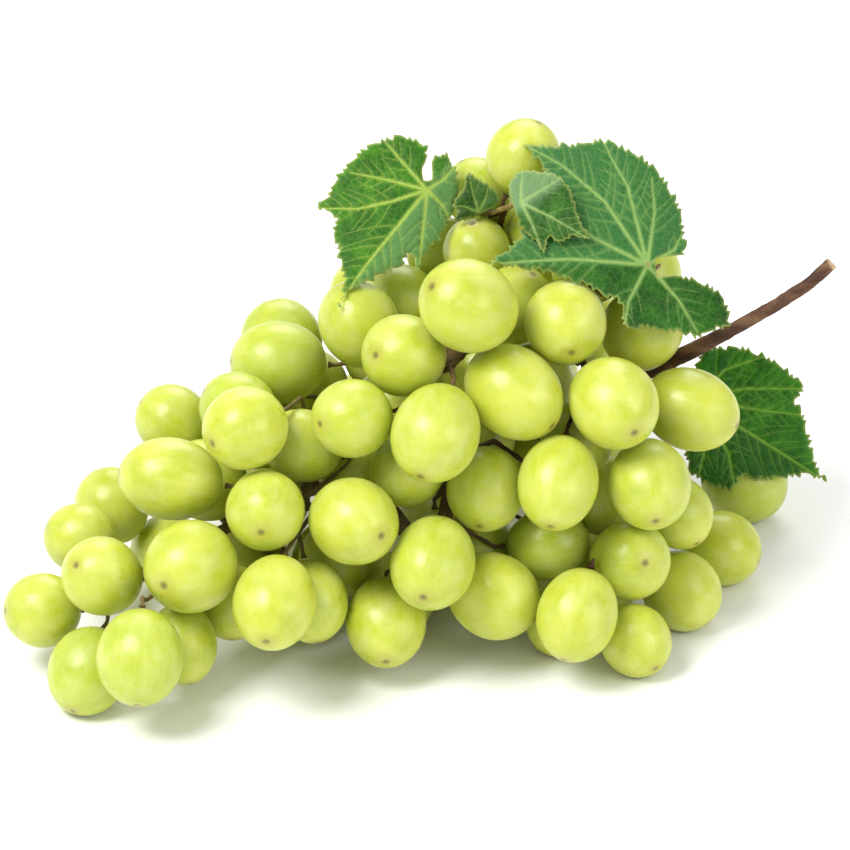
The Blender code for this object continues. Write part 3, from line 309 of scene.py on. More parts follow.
def find_berries(name):
    """Each berry in a node as (centre, axis, radius, half length), read from its solid."""
    work = clean_copy(name)
    found = []
    for vert in work.verts:
        ring = [edge.other_vert(vert) for edge in vert.link_edges]
        if len(ring) == SIDES:
            found.append(berry_from_tip(vert.co, [other.co for other in ring]))
    found += [berry_from_seat(seat) for seat in flat_patches(work)]
    different = []
    for berry in found:
        if berry and all((berry[0] - other[0]).length > SAME_BERRY for other in different):
            different.append(berry)
    work.free()
    return different


def flat_patches(work):
    """Sets of eight vertices round a flat patch of faces."""
    seen = set()
    patches = []
    for face in work.faces:
        if face in seen:
            continue
        patch, queue = {face}, [face]
        while queue:
            for edge in queue.pop().edges:
                for other in edge.link_faces:
                    if other not in patch and other.normal.dot(face.normal) > FLAT:
                        patch.add(other)
                        queue.append(other)
        seen |= patch
        verts = {vert for item in patch for vert in item.verts}
        if len(verts) == SIDES:
            patches.append(verts)
    return patches


def berry_from_seat(seat):
    """The berry whose stem end is this small flat octagon."""
    middle = sum((vert.co for vert in seat), Vector()) / SIDES
    spans = [(vert.co - middle).length for vert in seat]
    size = sum(spans) / SIDES
    ring = {edge.other_vert(vert) for vert in seat for edge in vert.link_edges} - seat
    if len(ring) != SIDES or max(spans) - min(spans) > UNEVEN:
        return None
    if not SEAT_SIZES[0] < size < SEAT_SIZES[1]:
        return None
    upper = sum((vert.co for vert in ring), Vector()) / SIDES
    wide = [(vert.co - upper).length for vert in ring]
    if max(wide) - min(wide) > UNEVEN:
        return None
    radius = 2 * sum(wide) / SIDES
    lean = math.cos(RING_TURN)
    half = (upper - middle).length / (math.sqrt(1 - (size / radius) ** 2) - lean)
    axis = (upper - middle).normalized()
    return upper + axis * half * lean, axis, radius, half


def berry_from_tip(tip, ring):
    """The berry whose free tip has eight equal neighbours at 30 degrees round."""
    middle = sum(ring, Vector()) / SIDES
    spans = [(point - middle).length for point in ring]
    drop = (tip - middle).length
    if max(spans) - min(spans) > UNEVEN / 2 or drop < SMALLEST_DROP:
        return None
    radius = 2 * sum(spans) / SIDES
    half = drop / (1 - math.cos(RING_TURN))
    if not RADII[0] < radius < RADII[1] or not HALVES[0] < half < HALVES[1]:
        return None
    axis = (tip - middle).normalized()
    return tip - axis * half, axis, radius, half


# The fine berry: how many points round it and along it, and how uneven it is, as shares of its
# size. Each bump is (how many per radius, height); each dimple is (depth, width in radians).
AROUND = 40
ALONG = 28
SWELL = 0.994
BUMPS = ((1.1, 0.010), (4.0, 0.0022))
EGG = (-0.02, 0.03)
TIP_DIMPLE = (0.030, 0.10)
SEAT_DIMPLE = (0.045, 0.16)
TIP_LIP = (0.006, 0.17, 0.07)
VEIN_STRETCH = (2.2, 0.35)
NOISE_REACH = 50
TONE_SEED = 7
GREENEST = 0.55


def berry_reach(unit, turn, offset, egg):
    """How far a fine berry reaches across and along its axis, as shares of its size."""
    swell = SWELL
    for scale, height in BUMPS:
        swell += height * noise.noise(unit * scale + offset)
    wide = swell * (1 + egg * unit.z * (1 - unit.z ** 2))
    dimple = TIP_DIMPLE[0] * math.exp(-(turn / TIP_DIMPLE[1]) ** 2)
    dimple += SEAT_DIMPLE[0] * math.exp(-((math.pi - turn) / SEAT_DIMPLE[1]) ** 2)
    lip = TIP_LIP[0] * math.exp(-((turn - TIP_LIP[1]) / TIP_LIP[2]) ** 2)
    return wide, swell * (1 - dimple + lip)


def fine_berry(centre, axis, radius, half, seed):
    """Points, faces and surface values of one smooth, slightly uneven berry."""
    rng = random.Random(seed)
    turned = axis.to_track_quat("Z", "Y").to_matrix()
    offset = Vector([rng.uniform(-NOISE_REACH, NOISE_REACH) for _ in range(3)])
    egg = rng.uniform(*EGG)
    points, local, pole, veins = [], [], [], []
    for row in range(ALONG + 1):
        turn = math.pi * row / ALONG
        for side in range(1 if row in (0, ALONG) else AROUND):
            angle = 2 * math.pi * side / AROUND
            round_x, round_y = math.cos(angle), math.sin(angle)
            unit = Vector((math.sin(turn) * round_x, math.sin(turn) * round_y, math.cos(turn)))
            wide, tall = berry_reach(unit, turn, offset, egg)
            place = Vector((unit.x * wide * radius, unit.y * wide * radius, unit.z * tall * half))
            place = centre + turned @ place
            place.z = max(place.z, 0.0)
            points.append(place)
            local.append(unit + offset)
            pole.append(0.5 + 0.5 * unit.z)
            round_step, long_step = VEIN_STRETCH
            veins.append(Vector((round_x * round_step, round_y * round_step, unit.z * long_step)) + offset)
    return points, berry_faces(len(points)), local, pole, veins


def berry_faces(count):
    """Faces between the rings of a berry's points, which run from its tip to its stem end."""
    faces = []
    last = 1 + (ALONG - 2) * AROUND
    for side in range(AROUND):
        after = (side + 1) % AROUND
        faces.append((0, 1 + side, 1 + after))
        for row in range(ALONG - 2):
            upper = 1 + row * AROUND
            lower = upper + AROUND
            faces.append((upper + side, lower + side, lower + after, upper + after))
        faces.append((last + side, count - 1, last + after))
    return faces




def berry_piece(name, berries, material, number):
    """One piece with a node's fine berries; gives back how many berries there are so far."""
    points, faces, local, pole, veins, tones = [], [], [], [], [], []
    for berry in berries:
        number += 1
        made = fine_berry(*berry, seed=number)
        base = len(points)
        points += made[0]
        faces += [tuple(base + corner for corner in face) for face in made[1]]
        local += made[2]
        pole += made[3]
        veins += made[4]
        tone = random.Random(number * TONE_SEED + 1).uniform(0.0, GREENEST) ** 1.5
        tones += [tone] * len(made[0])
    shown = name.replace("berries", "grapes").replace("berry", "grape")
    piece = mesh_object(shown, points, faces, material)
    point_values(piece.data, "berry_place", [tuple(place) for place in local])
    point_values(piece.data, "berry_veins", [tuple(place) for place in veins])
    point_values(piece.data, "berry_pole", pole)
    point_values(piece.data, "berry_tone", tones)
    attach(piece, "root")
    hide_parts(name)
    return number


def make_berries():
    """The fine berries of every berry node."""
    material = berry_material()
    number = 0
    for name in sorted(NODES):
        if "berr" in name:
            number = berry_piece(name, find_berries(name), material, number)


# ---------------------------------------------------------------- stem
STEM_VOXEL = 0.00045
STEM_SMOOTHING = 4
STALK_VOXEL = 0.00028
STALK_SMOOTHING = 5
CUT_REACH = 0.006
CUT_DEPTH = 0.0011
OLD_WOOD = 0.030


def solid_parts(work):
    """The points and faces of a bmesh, which is freed."""
    work.verts.index_update()
    points = [tuple(vert.co) for vert in work.verts]
    faces = [tuple(vert.index for vert in face.verts) for face in work.faces]
    work.free()
    return points, faces


def remeshed(name, points_faces, voxel, smooth, material):
    """An object whose joints are fused and rounded by a voxel remesh."""
    made = mesh_object(name, points_faces[0], points_faces[1], material)
    remesh = made.modifiers.new("remesh", "REMESH")
    remesh.mode = "VOXEL"
    remesh.voxel_size = voxel
    soft = made.modifiers.new("smooth", "SMOOTH")
    soft.factor = 0.5
    soft.iterations = smooth
    evaluated_mesh(made)
    made.data.shade_smooth()
    return made


def wrinkle(made, scale, depth):
    """Moves each vertex along its normal by ridged noise that is longer along X."""
    mesh = made.data
    normals = [vert.normal.copy() for vert in mesh.vertices]
    for vert, normal in zip(mesh.vertices, normals):
        place = Vector((vert.co.x * 0.4, vert.co.y, vert.co.z)) * scale
        vert.co = vert.co + normal * depth * (noise.noise(place) + 0.5 * noise.noise(place * 2.7))
    mesh.update()


def make_stem(material):
    """The CAD stem, rounded, wrinkled and coloured, with a pale cut end."""
    made = remeshed("stem_bark", solid_parts(clean_copy("stem")), STEM_VOXEL, STEM_SMOOTHING, material)
    wrinkle(made, 700.0, 0.00016)
    cloud = np.array([vert.co[:] for vert in made.data.vertices])
    end = cloud[cloud[:, 0] > cloud[:, 0].max() - 0.0004].mean(axis=0)
    reach = np.linalg.norm(cloud - end, axis=1)
    inner = cloud[(reach > CUT_REACH) & (reach < CUT_REACH + 0.002)].mean(axis=0)
    along = (end - inner) / np.linalg.norm(end - inner)
    depth = (cloud - end) @ along
    cut = np.clip((depth + CUT_DEPTH) / 0.0004, 0, 1) * (reach < CUT_REACH)
    point_values(made.data, "cut", cut)
    young = np.clip((OLD_WOOD - cloud[:, 0]) / 0.05, 0, 1) * 0.7
    point_values(made.data, "young", np.where(cloud[:, 0] > OLD_WOOD, 0.0, young))
    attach(made, "root")
    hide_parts("stem")


# ---------------------------------------------------------------- leaves
# Each leaf: where its stalk joins the blade on the slope, how it bends (the same as its CAD
# solid), the fine outline round the joint in millimetres, and its ribs as lines from the joint.
# Each leaf's last line and side mark the half of the blade that takes painted light: painted sheen on most
# leaves, painted shade on leaf_right.
LEAVES = {
    "leaf_left": dict(
        joint=(0.5, 104.0), tilt=(-0.20, -0.35), rib=234, fold=-0.20, bow=(-8, 0.004), wave=(0.8, 5),
        corner=(-29.5, -4.7),
        outline=((-0.8, 2.6), (-1.2, 5.5), (-0.3, 7.6), (0.3, 10.2), (-0.8, 12.4), (-3.4, 13.7),
                 (-7.1, 14.2), (-11.0, 13.4), (-16.0, 11.3), (-21.0, 6.6), (-24.0, 2.9),
                 (-26.6, -2.6), (-29.5, -4.7), (-25.0, -6.0), (-23.7, -7.6), (-24.7, -11.6),
                 (-23.4, -15.0), (-22.6, -19.7), (-21.3, -24.2), (-22.2, -28.4), (-23.9, -31.8),
                 (-20.0, -27.0), (-16.0, -24.5), (-10.3, -21.6), (-6.8, -19.7), (-4.2, -16.8),
                 (-2.4, -21.6), (-0.8, -18.2), (0.8, -15.5), (3.9, -12.4), (5.8, -8.4), (7.6, -3.2),
                 (8.4, 0.8), (7.9, 4.7), (6.8, 7.4), (5.0, 9.7), (2.4, 9.2), (1.3, 7.4), (1.3, 2.9)),
        ribs=(((-12, 3), (-20, 4.5)), ((-9, -3), (-18, -5), (-28, -4.8)),
              ((-8, -10), (-16, -20), (-23.5, -31)),
              ((-1, -10), (-2.2, -20.5)), ((4, -4), (6, -8)), ((-7, 8), (-11, 12.8)), ((4.5, 3), (7, 6))),
        painted_light_line=((0, 0), (-23.9, -31.8)), painted_light_side=1),
    "leaf_large": dict(
        joint=(57.4, 84.2), tilt=(-0.10, -0.40), rib=180, fold=-0.06, bow=(-20, 0.008), wave=(1.0, 5),
        corner=(22.1, -13.2),
        outline=((2.4, 1.6), (6.6, 2.4), (9.7, 2.9), (10.0, 6.6), (9.7, 11.3), (8.2, 16.6),
                 (5.5, 21.3), (1.8, 25.8), (-2.9, 29.5), (-7.4, 31.3), (-12.1, 32.9), (-17.9, 31.8),
                 (-23.2, 31.6), (-31.3, 31.1), (-28.2, 26.8), (-26.0, 23.4), (-27.0, 18.0),
                 (-30.0, 13.0), (-32.4, 8.7), (-35.5, 4.5), (-41.0, 0.3), (-36.3, -0.6),
                 (-29.7, -1.2), (-24.5, -2.6), (-19.2, -4.2), (-13.9, -6.3), (-11.3, -8.2),
                 (-7.9, -9.0), (-7.0, -12.4), (-6.0, -16.2), (-0.8, -16.3), (3.2, -17.4),
                 (8.4, -17.1), (12.4, -18.9), (17.6, -16.8), (20.8, -15.8), (22.1, -13.2),
                 (20.3, -8.9), (16.6, -5.3), (12.4, -3.4), (7.1, -2.6), (2.6, -2.9)),
        ribs=(((-11, 16.5), (-22, 26), (-30, 30.5)), ((-5, 20.5), (-9, 27.5), (-11, 32)),
              ((2, 14), (1.3, 23)),
              ((-20, 1.5), (-41, 0.3)), ((-14, 7), (-25, 16)), ((-5, -9.5), (-6, -15.5)),
              ((8, -9), (13, -17.5)),
              ((7, 4), (9, 8))),
        painted_light_line=((0, 0), (-41.0, 0.3)), painted_light_side=-1),
    "leaf_right": dict(
        joint=(71.5, 49.5), tilt=(-0.12, 0.0), rib=-35, fold=0.10, bow=(10, 0.002), wave=(0.8, 5),
        corner=(35.0, -21.6),
        outline=((-1.8, -1.3), (-2.6, -6.6), (-2.6, -14.5), (-1.2, -19.0), (2.1, -21.8),
                 (6.0, -23.2), (10.5, -23.9), (12.6, -20.3), (17.9, -21.0), (24.5, -20.5),
                 (30.3, -20.0), (35.0, -21.6), (32.4, -17.1), (31.0, -11.8), (30.0, -7.9),
                 (29.2, -4.0), (27.1, -0.5), (29.2, 3.2), (26.3, 6.6), (22.6, 9.5), (17.9, 12.1),
                 (12.6, 14.0), (8.2, 14.0), (4.0, 14.0), (1.3, 12.6), (0.3, 9.2), (-0.8, 2.6)),
        ribs=(((15, -9), (34, -21)), ((13, 3), (28, 3)), ((8, 8), (18, 11.5)), ((9, -14), (10.5, -23)),
              ((3, -12), (1, -20)), ((20, -3), (28.5, -4))),
        painted_light_line=((0, 0), (35.0, -21.6)), painted_light_side=-1),
    "leaf_small_right": dict(
        joint=(24.7, 100.3), tilt=(0.10, -0.2), rib=-28, fold=-0.2, bow=(5, 0.01), wave=(0.5, 4),
        corner=(17.6, -9.5),
        outline=((-1.3, -2.9), (-0.3, -6.3), (1.8, -8.7), (4.2, -10.6), (5.8, -13.2), (7.6, -8.9),
                 (9.7, -10.5), (13.4, -8.9), (17.6, -9.5), (14.7, -3.4), (13.4, 1.8), (11.3, 5.5),
                 (8.2, 7.6), (4.2, 8.2), (0.8, 8.4), (-1.8, 7.1), (-3.2, 5.0), (-2.9, 1.8)),
        ribs=(((8, -4), (17, -9.2)), ((5, 3), (10.5, 6.5)), ((3, -6), (5.6, -12.5)), ((0, 4), (0.5, 8))),
        painted_light_line=((-1.3, -2.9), (11.3, 5.5)), painted_light_side=1),
    "leaf_small_left": dict(
        joint=(13.9, 98.2), tilt=(0.1, -0.1), rib=100, fold=0.2, bow=(0, 0.01), wave=(0.5, 4),
        corner=(-6.8, 1.8),
        outline=((2.1, 0.3), (4.5, 1.1), (5.5, 3.2), (4.5, 5.5), (2.1, 7.6), (0.0, 8.7),
                 (-2.6, 10.5), (-3.7, 8.4), (-3.9, 6.6), (-5.5, 4.2), (-6.8, 1.8), (-5.5, 0.3),
                 (-6.6, -2.1), (-3.9, -2.1), (-1.6, -1.6)),
        ribs=(((-1.5, 5), (-2.5, 10)), ((2, 4), (2.5, 7)), ((-3.5, 1.5), (-6.3, 1.8))),
        painted_light_line=((0, 0), (-2.6, 10.5)), painted_light_side=-1),
}
# Each leaf's tones: light, mid and dark greens, then the painted light tone for one half of the blade
# (painted sheen on most leaves, painted shade on leaf_right), then the vein colour.
TONES = {
    "leaf_left": ((0.050, 0.20, 0.004), (0.020, 0.118, 0.002), (0.007, 0.060, 0.001), (0.100, 0.235, 0.070),
                  (0.36, 0.48, 0.08)),
    "leaf_large": ((0.024, 0.135, 0.006), (0.011, 0.083, 0.003), (0.004, 0.040, 0.002), (0.030, 0.140, 0.030),
                   (0.27, 0.42, 0.11)),
    "leaf_right": ((0.036, 0.19, 0.003), (0.014, 0.120, 0.001), (0.004, 0.055, 0.001), (0.007, 0.075, 0.002),
                   (0.20, 0.38, 0.04)),
    "leaf_small_right": ((0.035, 0.14, 0.012), (0.016, 0.080, 0.005), (0.006, 0.042, 0.002),
                         (0.15, 0.27, 0.11), (0.30, 0.43, 0.14)),
    "leaf_small_left": ((0.028, 0.10, 0.003), (0.012, 0.055, 0.002), (0.004, 0.026, 0.001),
                        (0.030, 0.10, 0.007), (0.22, 0.33, 0.06)),
}
# Millimetres: the blade's thickness, and how its grid and relief are spaced.
THICK = 0.42
BLADE_LIFT = 0.15
ROUNDING = 0.65
SMOOTH_SHARE = 0.22
NEAR_BLADE = 0.36
MAIN_FURROW = 0.34
SIDE_FURROW = 0.20
SIDE_VEIN = 0.40
RIB_SIDE = 0.20
RIB_STEP = 0.42
SPACING = 0.62


def leaf_height(leaf, across, up):
    """How far out the blade's middle surface stands from its joint, as in its CAD solid."""
    rib = math.radians(leaf["rib"])
    radius = np.hypot(across, up)
    aside = across * math.sin(rib) - up * math.cos(rib)
    rise = leaf["tilt"][0] * across + leaf["tilt"][1] * up
    rise = rise + leaf["fold"] * (np.sqrt(aside ** 2 + 4.0) - 2.0)
    rise = rise - leaf["bow"][1] * (across - leaf["bow"][0]) ** 2
    size, count = leaf["wave"]
    return rise + size * (radius / 25) ** 2 * np.sin(count * np.arctan2(up, across))


def smooth_outline(leaf):
    """Rounds the outline a little between its corners and cuts sharp teeth into it."""
    size = leaf_size(leaf)
    tooth = 0.30 + 0.032 * size
    pitch = 1.15 + 0.035 * size
    line = rounded_line([np.array(point, dtype=float) for point in leaf["outline"]])
    length = np.concatenate([[0], np.cumsum(np.hypot(*np.diff(line, axis=0).T))])
    rng = random.Random(int(size * 100))
    teeth = []
    for number, (place, run) in enumerate(zip(line, length)):
        way = line[(number + 1) % len(line)] - line[number - 1]
        normal = np.array([way[1], -way[0]]) / (np.hypot(*way) + 1e-9)
        phase = (run / pitch + 0.35 * math.sin(run * 0.9)) % 1.0
        rise = 0.0
        if np.hypot(*place) >= SMOOTH_SHARE * size:
            rise = tooth * (phase ** 1.3 - 0.55) * rng.uniform(0.75, 1.0)
        teeth.append(place - normal * rise * turn_sign(leaf))
    return np.array(teeth)


def rounded_line(corners):
    """A closed line through the corners, between straight and a smooth curve."""
    total = len(corners)
    line = []
    for here in range(total):
        a, b, c, d = (corners[(here + step) % total] for step in (-1, 0, 1, 2))
        count = max(2, int(round(np.hypot(*(c - b)) / 0.5)))
        for step in range(count):
            t = step / count
            curve = 2 * b + (c - a) * t + (2 * a - 5 * b + 4 * c - d) * t ** 2
            curve = 0.5 * (curve + (3 * b - a - 3 * c + d) * t ** 3)
            straight = b * (1 - t) + c * t
            line.append(straight * (1 - ROUNDING) + curve * ROUNDING)
    return np.array(line)


def turn_sign(leaf):
    """+1 if the outline runs clockwise, seen from the front."""
    area = 0.0
    points = leaf["outline"]
    for (x1, y1), (x2, y2) in zip(points, points[1:] + points[:1]):
        area += x1 * y2 - x2 * y1
    return 1.0 if area < 0 else -1.0


def inside(points, outline):
    """Whether places lie inside a closed outline."""
    result = np.zeros(len(points), dtype=bool)
    for start, end in zip(outline, np.roll(outline, -1, axis=0)):
        spans = (start[1] > points[:, 1]) != (end[1] > points[:, 1])
        run = (end[1] - start[1]) or 1e-9
        crossing = start[0] + (points[:, 1] - start[1]) * (end[0] - start[0]) / run
        result ^= spans & (points[:, 0] < crossing)
    return result


def distance_to_lines(points, lines):
    """Distance from each point to the nearest line piece, and how far along that line it is."""
    best = np.full(len(points), 1e9)
    share = np.zeros(len(points))
    for line in lines:
        line = np.array(line, dtype=float)
        total = np.hypot(*np.diff(line, axis=0).T).sum() or 1e-9
        run = 0.0
        for start, end in zip(line, line[1:]):
            way = end - start
            length = np.hypot(*way) or 1e-9
            t = np.clip(((points - start) @ way) / length ** 2, 0, 1)
            gap = np.hypot(*(points - (start + t[:, None] * way)).T)
            nearer = gap < best
            best = np.where(nearer, gap, best)
            share = np.where(nearer, (run + t * length) / total, share)
            run += length
    return best, share


def side_ribs(main):
    """Small ribs that leave a main rib on both sides at a slant."""
    lines = []
    line = np.array(main, dtype=float)
    lengths = np.hypot(*np.diff(line, axis=0).T)
    total = lengths.sum()
    if total < 9:
        return lines
    count = int(total / 4.6)
    for number in range(1, count + 1):
        want = total * (0.22 + 0.78 * number / (count + 1))
        run = 0.0
        for start, end, length in zip(line, line[1:], lengths):
            if run + length >= want:
                break
            run += length
        way = (end - start) / length
        place = start + way * (want - run)
        for side in (-1, 1):
            reach = (total - want) * 0.42 + 1.5
            turned = math.radians(48 if number % 2 else 42) * side
            slant = np.array([way[0] * math.cos(turned) - way[1] * math.sin(turned),
                              way[0] * math.sin(turned) + way[1] * math.cos(turned)])
            bend = np.array([way[0], way[1]]) * 0.25
            middle = place + slant * reach * 0.5
            far = place + (slant + bend * 0.6) * reach
            lines.append((tuple(place), tuple(middle), tuple(far)))
    return lines


def rib_points(lines):
    """Points along every rib, with a row at either side of it, none too near another."""
    taken = {}
    kept = []
    rows = []
    for aside in (0.0, RIB_SIDE, -RIB_SIDE):
        for line in lines:
            line = np.array(line, dtype=float)
            for start, end in zip(line, line[1:]):
                length = np.hypot(*(end - start))
                way = (end - start) / (length or 1e-9)
                normal = np.array([-way[1], way[0]])
                for run in np.arange(0, length, RIB_STEP):
                    rows.append((start + way * run + normal * aside, aside))
    for place, aside in rows:
        near = RIB_STEP * 0.62 if aside == 0 else RIB_SIDE * 0.9
        key = (int(place[0] // 0.5), int(place[1] // 0.5))
        around = [other for dx in (-1, 0, 1) for dy in (-1, 0, 1)
                  for other in taken.get((key[0] + dx, key[1] + dy), ())]
        if all(np.hypot(*(place - other)) > near for other in around):
            taken.setdefault(key, []).append(place)
            kept.append(place)
    return np.array(kept)


def leaf_grid(leaf, lines):
    """Triangles over the outline: its own points, rows along the ribs and an even field."""
    outline = smooth_outline(leaf)
    low, high = outline.min(axis=0), outline.max(axis=0)
    field = []
    row = 0
    y = low[1]
    while y < high[1]:
        x = low[0] + (SPACING / 2 if row % 2 else 0)
        while x < high[0]:
            field.append((x, y))
            x += SPACING
        y += SPACING * 0.866
        row += 1
    field = np.array(field)
    closed = np.vstack([outline, outline[:1]])
    gap, _ = distance_to_lines(field, [closed])
    beside, _ = distance_to_lines(field, lines)
    field = field[inside(field, outline) & (gap > SPACING * 0.5) & (beside > RIB_SIDE + 0.25)]
    ribs = rib_points(lines)
    gap, _ = distance_to_lines(ribs, [closed])
    ribs = ribs[inside(ribs, outline) & (gap > 0.2)]
    field = np.vstack([ribs, field])
    points = [Vector(point) for point in np.vstack([outline, field])]
    edges = [(i, (i + 1) % len(outline)) for i in range(len(outline))]
    made = geometry.delaunay_2d_cdt(points, edges, [], 1, 1e-5)
    verts = np.array([tuple(v) for v in made[0]])
    faces = [tuple(face) for face in made[2]]
    middle = np.array([verts[list(face)].mean(axis=0) for face in faces])
    keep = inside(middle, outline)
    faces = [face for face, good in zip(faces, keep) if good]
    return verts, faces, closed


def leaf_shift():
    """How far the CAD bunch was moved along X and Y after it was laid out."""
    leaf = LEAVES["leaf_right"]
    cloud = node_points("leaf_right") / MM
    across, up = np.array(leaf["joint"]) + leaf["corner"]
    tip = cloud[cloud[:, 0] > cloud[:, 0].max() - 0.02].mean(axis=0)
    out = (tip[2] - up * COS) / SIN
    return np.array([tip[0] - across, tip[1] - (up * SIN - out * COS), 0.0])


def leaf_out(name, leaf, shift):
    """How far out the leaf's joint stands in its CAD solid."""
    cloud = node_points(name) / MM - shift
    across = cloud[:, 0]
    up = cloud[:, 1] * SIN + cloud[:, 2] * COS
    out = -cloud[:, 1] * COS + cloud[:, 2] * SIN
    corner = np.array(leaf["joint"]) + leaf["corner"]
    near = np.hypot(across - corner[0], up - corner[1]) < 0.15
    rise = leaf_height(leaf, leaf["corner"][0], leaf["corner"][1])
    return out[near].mean() - rise


def leaf_relief(leaf, verts, main, side, edge_gap):
    """The blade's height at each point: its bend, furrows over the ribs, puckers and curled margin."""
    size = leaf_size(leaf)
    furrow = MAIN_FURROW * np.exp(-(main[0] / (main[1] * 2.2)) ** 2)
    furrow = furrow + SIDE_FURROW * np.exp(-(side[0] / (side[1] * 2.4)) ** 2)
    pucker = []
    for x, y in verts:
        broad = noise.noise(Vector((x * 0.42, y * 0.42, size)))
        fine = noise.noise(Vector((x * 1.1, y * 1.1, size)))
        pucker.append(0.20 * broad + 0.10 * fine)
    curl = 0.5 * np.clip(1 - edge_gap / 1.6, 0, 1) ** 2
    bend = leaf_height(leaf, verts[:, 0], verts[:, 1])
    return bend - furrow + np.array(pucker) - curl + BLADE_LIFT


def leaf_size(leaf):
    """The distance from the joint to the outline's farthest point."""
    return max(np.hypot(*point) for point in leaf["outline"])


def leaf_solid(leaf, verts, faces, heights, shift):
    """The blade's two faces, and a rim wherever a face has no neighbour."""
    points = []
    for offset in (THICK / 2, -THICK / 2):
        for (across, up), height in zip(verts, heights):
            place = to_world(leaf["joint"][0] + across, leaf["joint"][1] + up, height + offset)
            points.append(place + shift * MM)
    total = len(verts)
    closed = list(faces)
    closed += [tuple(total + corner for corner in reversed(face)) for face in faces]
    edges = {pair for face in faces for pair in zip(face, face[1:] + face[:1])}
    for a, b in sorted(edges):
        if (b, a) not in edges:
            closed.append((b, a, total + a, total + b))
    return points, closed


def painted_light_share(leaf, verts):
    """How much of the painted light tone (painted sheen, or painted shade on leaf_right) each point has: all
    on one side of the leaf's painted light line.
    """
    start, end = (np.array(point, dtype=float) for point in leaf["painted_light_line"])
    way = (end - start) / np.hypot(*(end - start))
    aside = (verts - start) @ np.array([-way[1], way[0]]) * leaf["painted_light_side"]
    return np.clip(0.5 + aside / 2.5, 0, 1) * 0.85


def make_leaf(name, shift):
    """One leaf's blade with its teeth, ribs and skin, and its stalk."""
    leaf = LEAVES[name]
    out = leaf_out(name, leaf, shift)
    mains = [((0, 0),) + tuple(line) for line in leaf["ribs"]]
    sides = [line for main in mains for line in side_ribs(main)]
    verts, faces, closed = leaf_grid(leaf, mains + sides)
    main_gap, main_share = distance_to_lines(verts, mains)
    if sides:
        side_gap, side_share = distance_to_lines(verts, sides)
    else:
        side_gap, side_share = main_gap + 99, main_share
    edge_gap, _ = distance_to_lines(verts, [closed])
    size = leaf_size(leaf)
    main_wide = (0.15 + 0.0075 * size) * (1.15 - 0.8 * main_share)
    side_wide = (0.10 + 0.003 * size) * (1.1 - 0.8 * side_share)
    main_vein = np.exp(-(main_gap / main_wide) ** 2)
    side_vein = np.exp(-(side_gap / side_wide) ** 2) * SIDE_VEIN
    vein = np.clip(np.maximum(main_vein, side_vein), 0, 1)
    rise = leaf_relief(leaf, verts, (main_gap, main_wide), (side_gap, side_wide), edge_gap)
    points, solid = leaf_solid(leaf, verts, faces, out + rise, shift)
    piece = mesh_object(name + "_blade", points, solid, leaf_material(name + " skin", *TONES[name]))
    place = np.column_stack([verts, rise * 0.2])
    point_values(piece.data, "leaf_place", np.vstack([place, place + 0.01]))
    point_values(piece.data, "vein", np.concatenate([vein, np.clip(vein * 1.2, 0, 1)]))
    # Painted light: the share of painted sheen (painted shade on leaf_right) at each point of the blade.
    point_values(piece.data, "painted_light_mask", np.tile(painted_light_share(leaf, verts), 2))
    point_values(piece.data, "margin", np.tile(np.exp(-(edge_gap / 0.35) ** 2), 2))
    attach(piece, "root")
    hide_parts(name)
    make_stalk(name, leaf, out, shift)


def stalk_material():
    """Brownish green skin of a leaf stalk."""
    mat, tree, shader = new_material("leaf stalk", 0.5, 0.1, specular=0.4)
    place = node(tree, "ShaderNodeTexCoord").outputs["Object"]
    cloud = noise_node(tree, place, 500.0, 3.0).outputs["Fac"]
    colour = ramp(tree, cloud, ((0.3, (0.14, 0.065, 0.03)), (0.55, (0.30, 0.20, 0.07)),
                                (0.75, (0.38, 0.36, 0.12)))).outputs["Color"]
    tree.links.new(colour, shader.inputs["Base Color"])
    bump(tree, shader, cloud, 0.4, 0.0002)
    return mat


def make_stalk(name, leaf, out, shift):
    """The leaf's stalk: the part of the CAD solid that isn't the blade, rounded."""
    work = clean_copy(name)
    blade = []
    for vert in work.verts:
        place = np.array(vert.co) / MM - shift
        across = place[0] - leaf["joint"][0]
        up = place[1] * SIN + place[2] * COS - leaf["joint"][1]
        height = -place[1] * COS + place[2] * SIN - out
        near = abs(height - leaf_height(leaf, across, up)) < NEAR_BLADE
        if near and np.hypot(across, up) > 0.05:
            blade.append(vert)
    bmesh.ops.delete(work, geom=blade, context="VERTS")
    loose = [vert for vert in work.verts if not vert.link_faces]
    bmesh.ops.delete(work, geom=loose, context="VERTS")
    bmesh.ops.holes_fill(work, edges=[edge for edge in work.edges if edge.is_boundary], sides=0)
    bmesh.ops.recalc_face_normals(work, faces=work.faces)
    made = remeshed(name + "_stalk", solid_parts(work), STALK_VOXEL, STALK_SMOOTHING, stalk_material())
    wrinkle(made, 900.0, 0.00006)
    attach(made, "root")
    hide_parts(name)


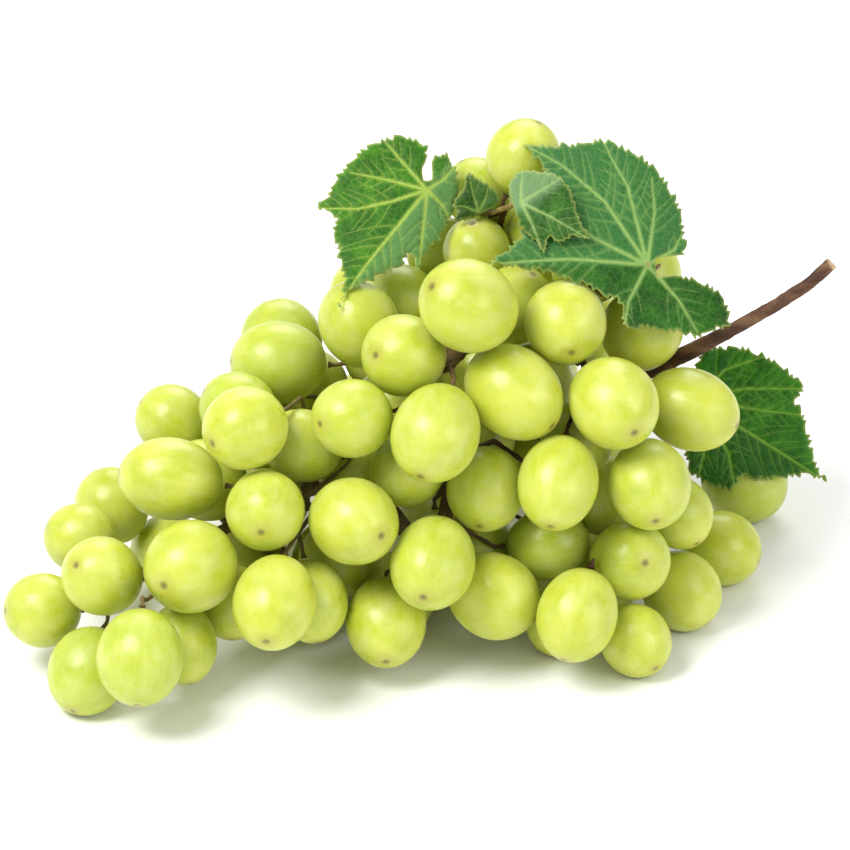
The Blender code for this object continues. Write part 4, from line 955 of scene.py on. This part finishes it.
# ---------------------------------------------------------------- stage
def make_stage():
    """A pale floor, a white surround and three soft lights."""
    floor = mesh_object("floor", [(-3, -3, 0), (3, -3, 0), (3, 3, 0), (-3, 3, 0)], [(0, 1, 2, 3)], None)
    floor.location.z = -0.0002
    mat, _, shader = new_material("white floor", 0.9, specular=0.1)
    shader.inputs["Base Color"].default_value = (0.93, 0.93, 0.93, 1)
    floor.data.materials.append(mat)
    world = bpy.data.worlds.new("studio")
    world.use_nodes = True
    world.node_tree.nodes["Background"].inputs["Color"].default_value = (1.0, 1.0, 1.0, 1)
    world.node_tree.nodes["Background"].inputs["Strength"].default_value = 0.62
    bpy.context.scene.world = world
    add_light("key", (-0.52, -0.38, 0.95), 0.56, 12.0)
    add_light("fill", (0.75, -0.55, 0.55), 0.60, 3.2)
    add_light("back", (0.10, 0.85, 0.75), 0.70, 5.0)
    scene = bpy.context.scene
    scene.view_settings.view_transform = "Standard"
    scene.view_settings.look = "None"
    scene.view_settings.exposure = 0.0


def add_light(name, place, size, power):
    """A round soft light that faces the bunch."""
    data = bpy.data.lights.new(name, "AREA")
    data.shape = "DISK"
    data.size = size
    data.energy = power
    made = bpy.data.objects.new(name, data)
    made.location = place
    made.rotation_mode = "QUATERNION"
    made.rotation_quaternion = (Vector(place) - Vector((0, 0, 0.05))).to_track_quat("Z", "Y")
    bpy.context.scene.collection.objects.link(made)


def make_camera(shift):
    """A long lens that looks down at the bunch from the front."""
    target = Vector(to_world(0, 42.9, 0)) + Vector(shift * MM)
    data = bpy.data.cameras.new("camera")
    data.sensor_width = 36.0
    distance = 2.5
    data.lens = 36.0 * distance / 0.2237
    data.clip_end = 20
    camera = bpy.data.objects.new("camera", data)
    camera.location = target + Vector((0, -COS, SIN)) * distance
    camera.rotation_mode = "QUATERNION"
    camera.rotation_quaternion = Vector((0, -COS, SIN)).to_track_quat("Z", "Y")
    bpy.context.scene.collection.objects.link(camera)
    bpy.context.scene.camera = camera


def main():
    """Builds the whole scene."""
    shift = leaf_shift()
    make_berries()
    make_stem(bark_material())
    for name in LEAVES:
        make_leaf(name, shift)
    make_stage()
    make_camera(shift)


main()
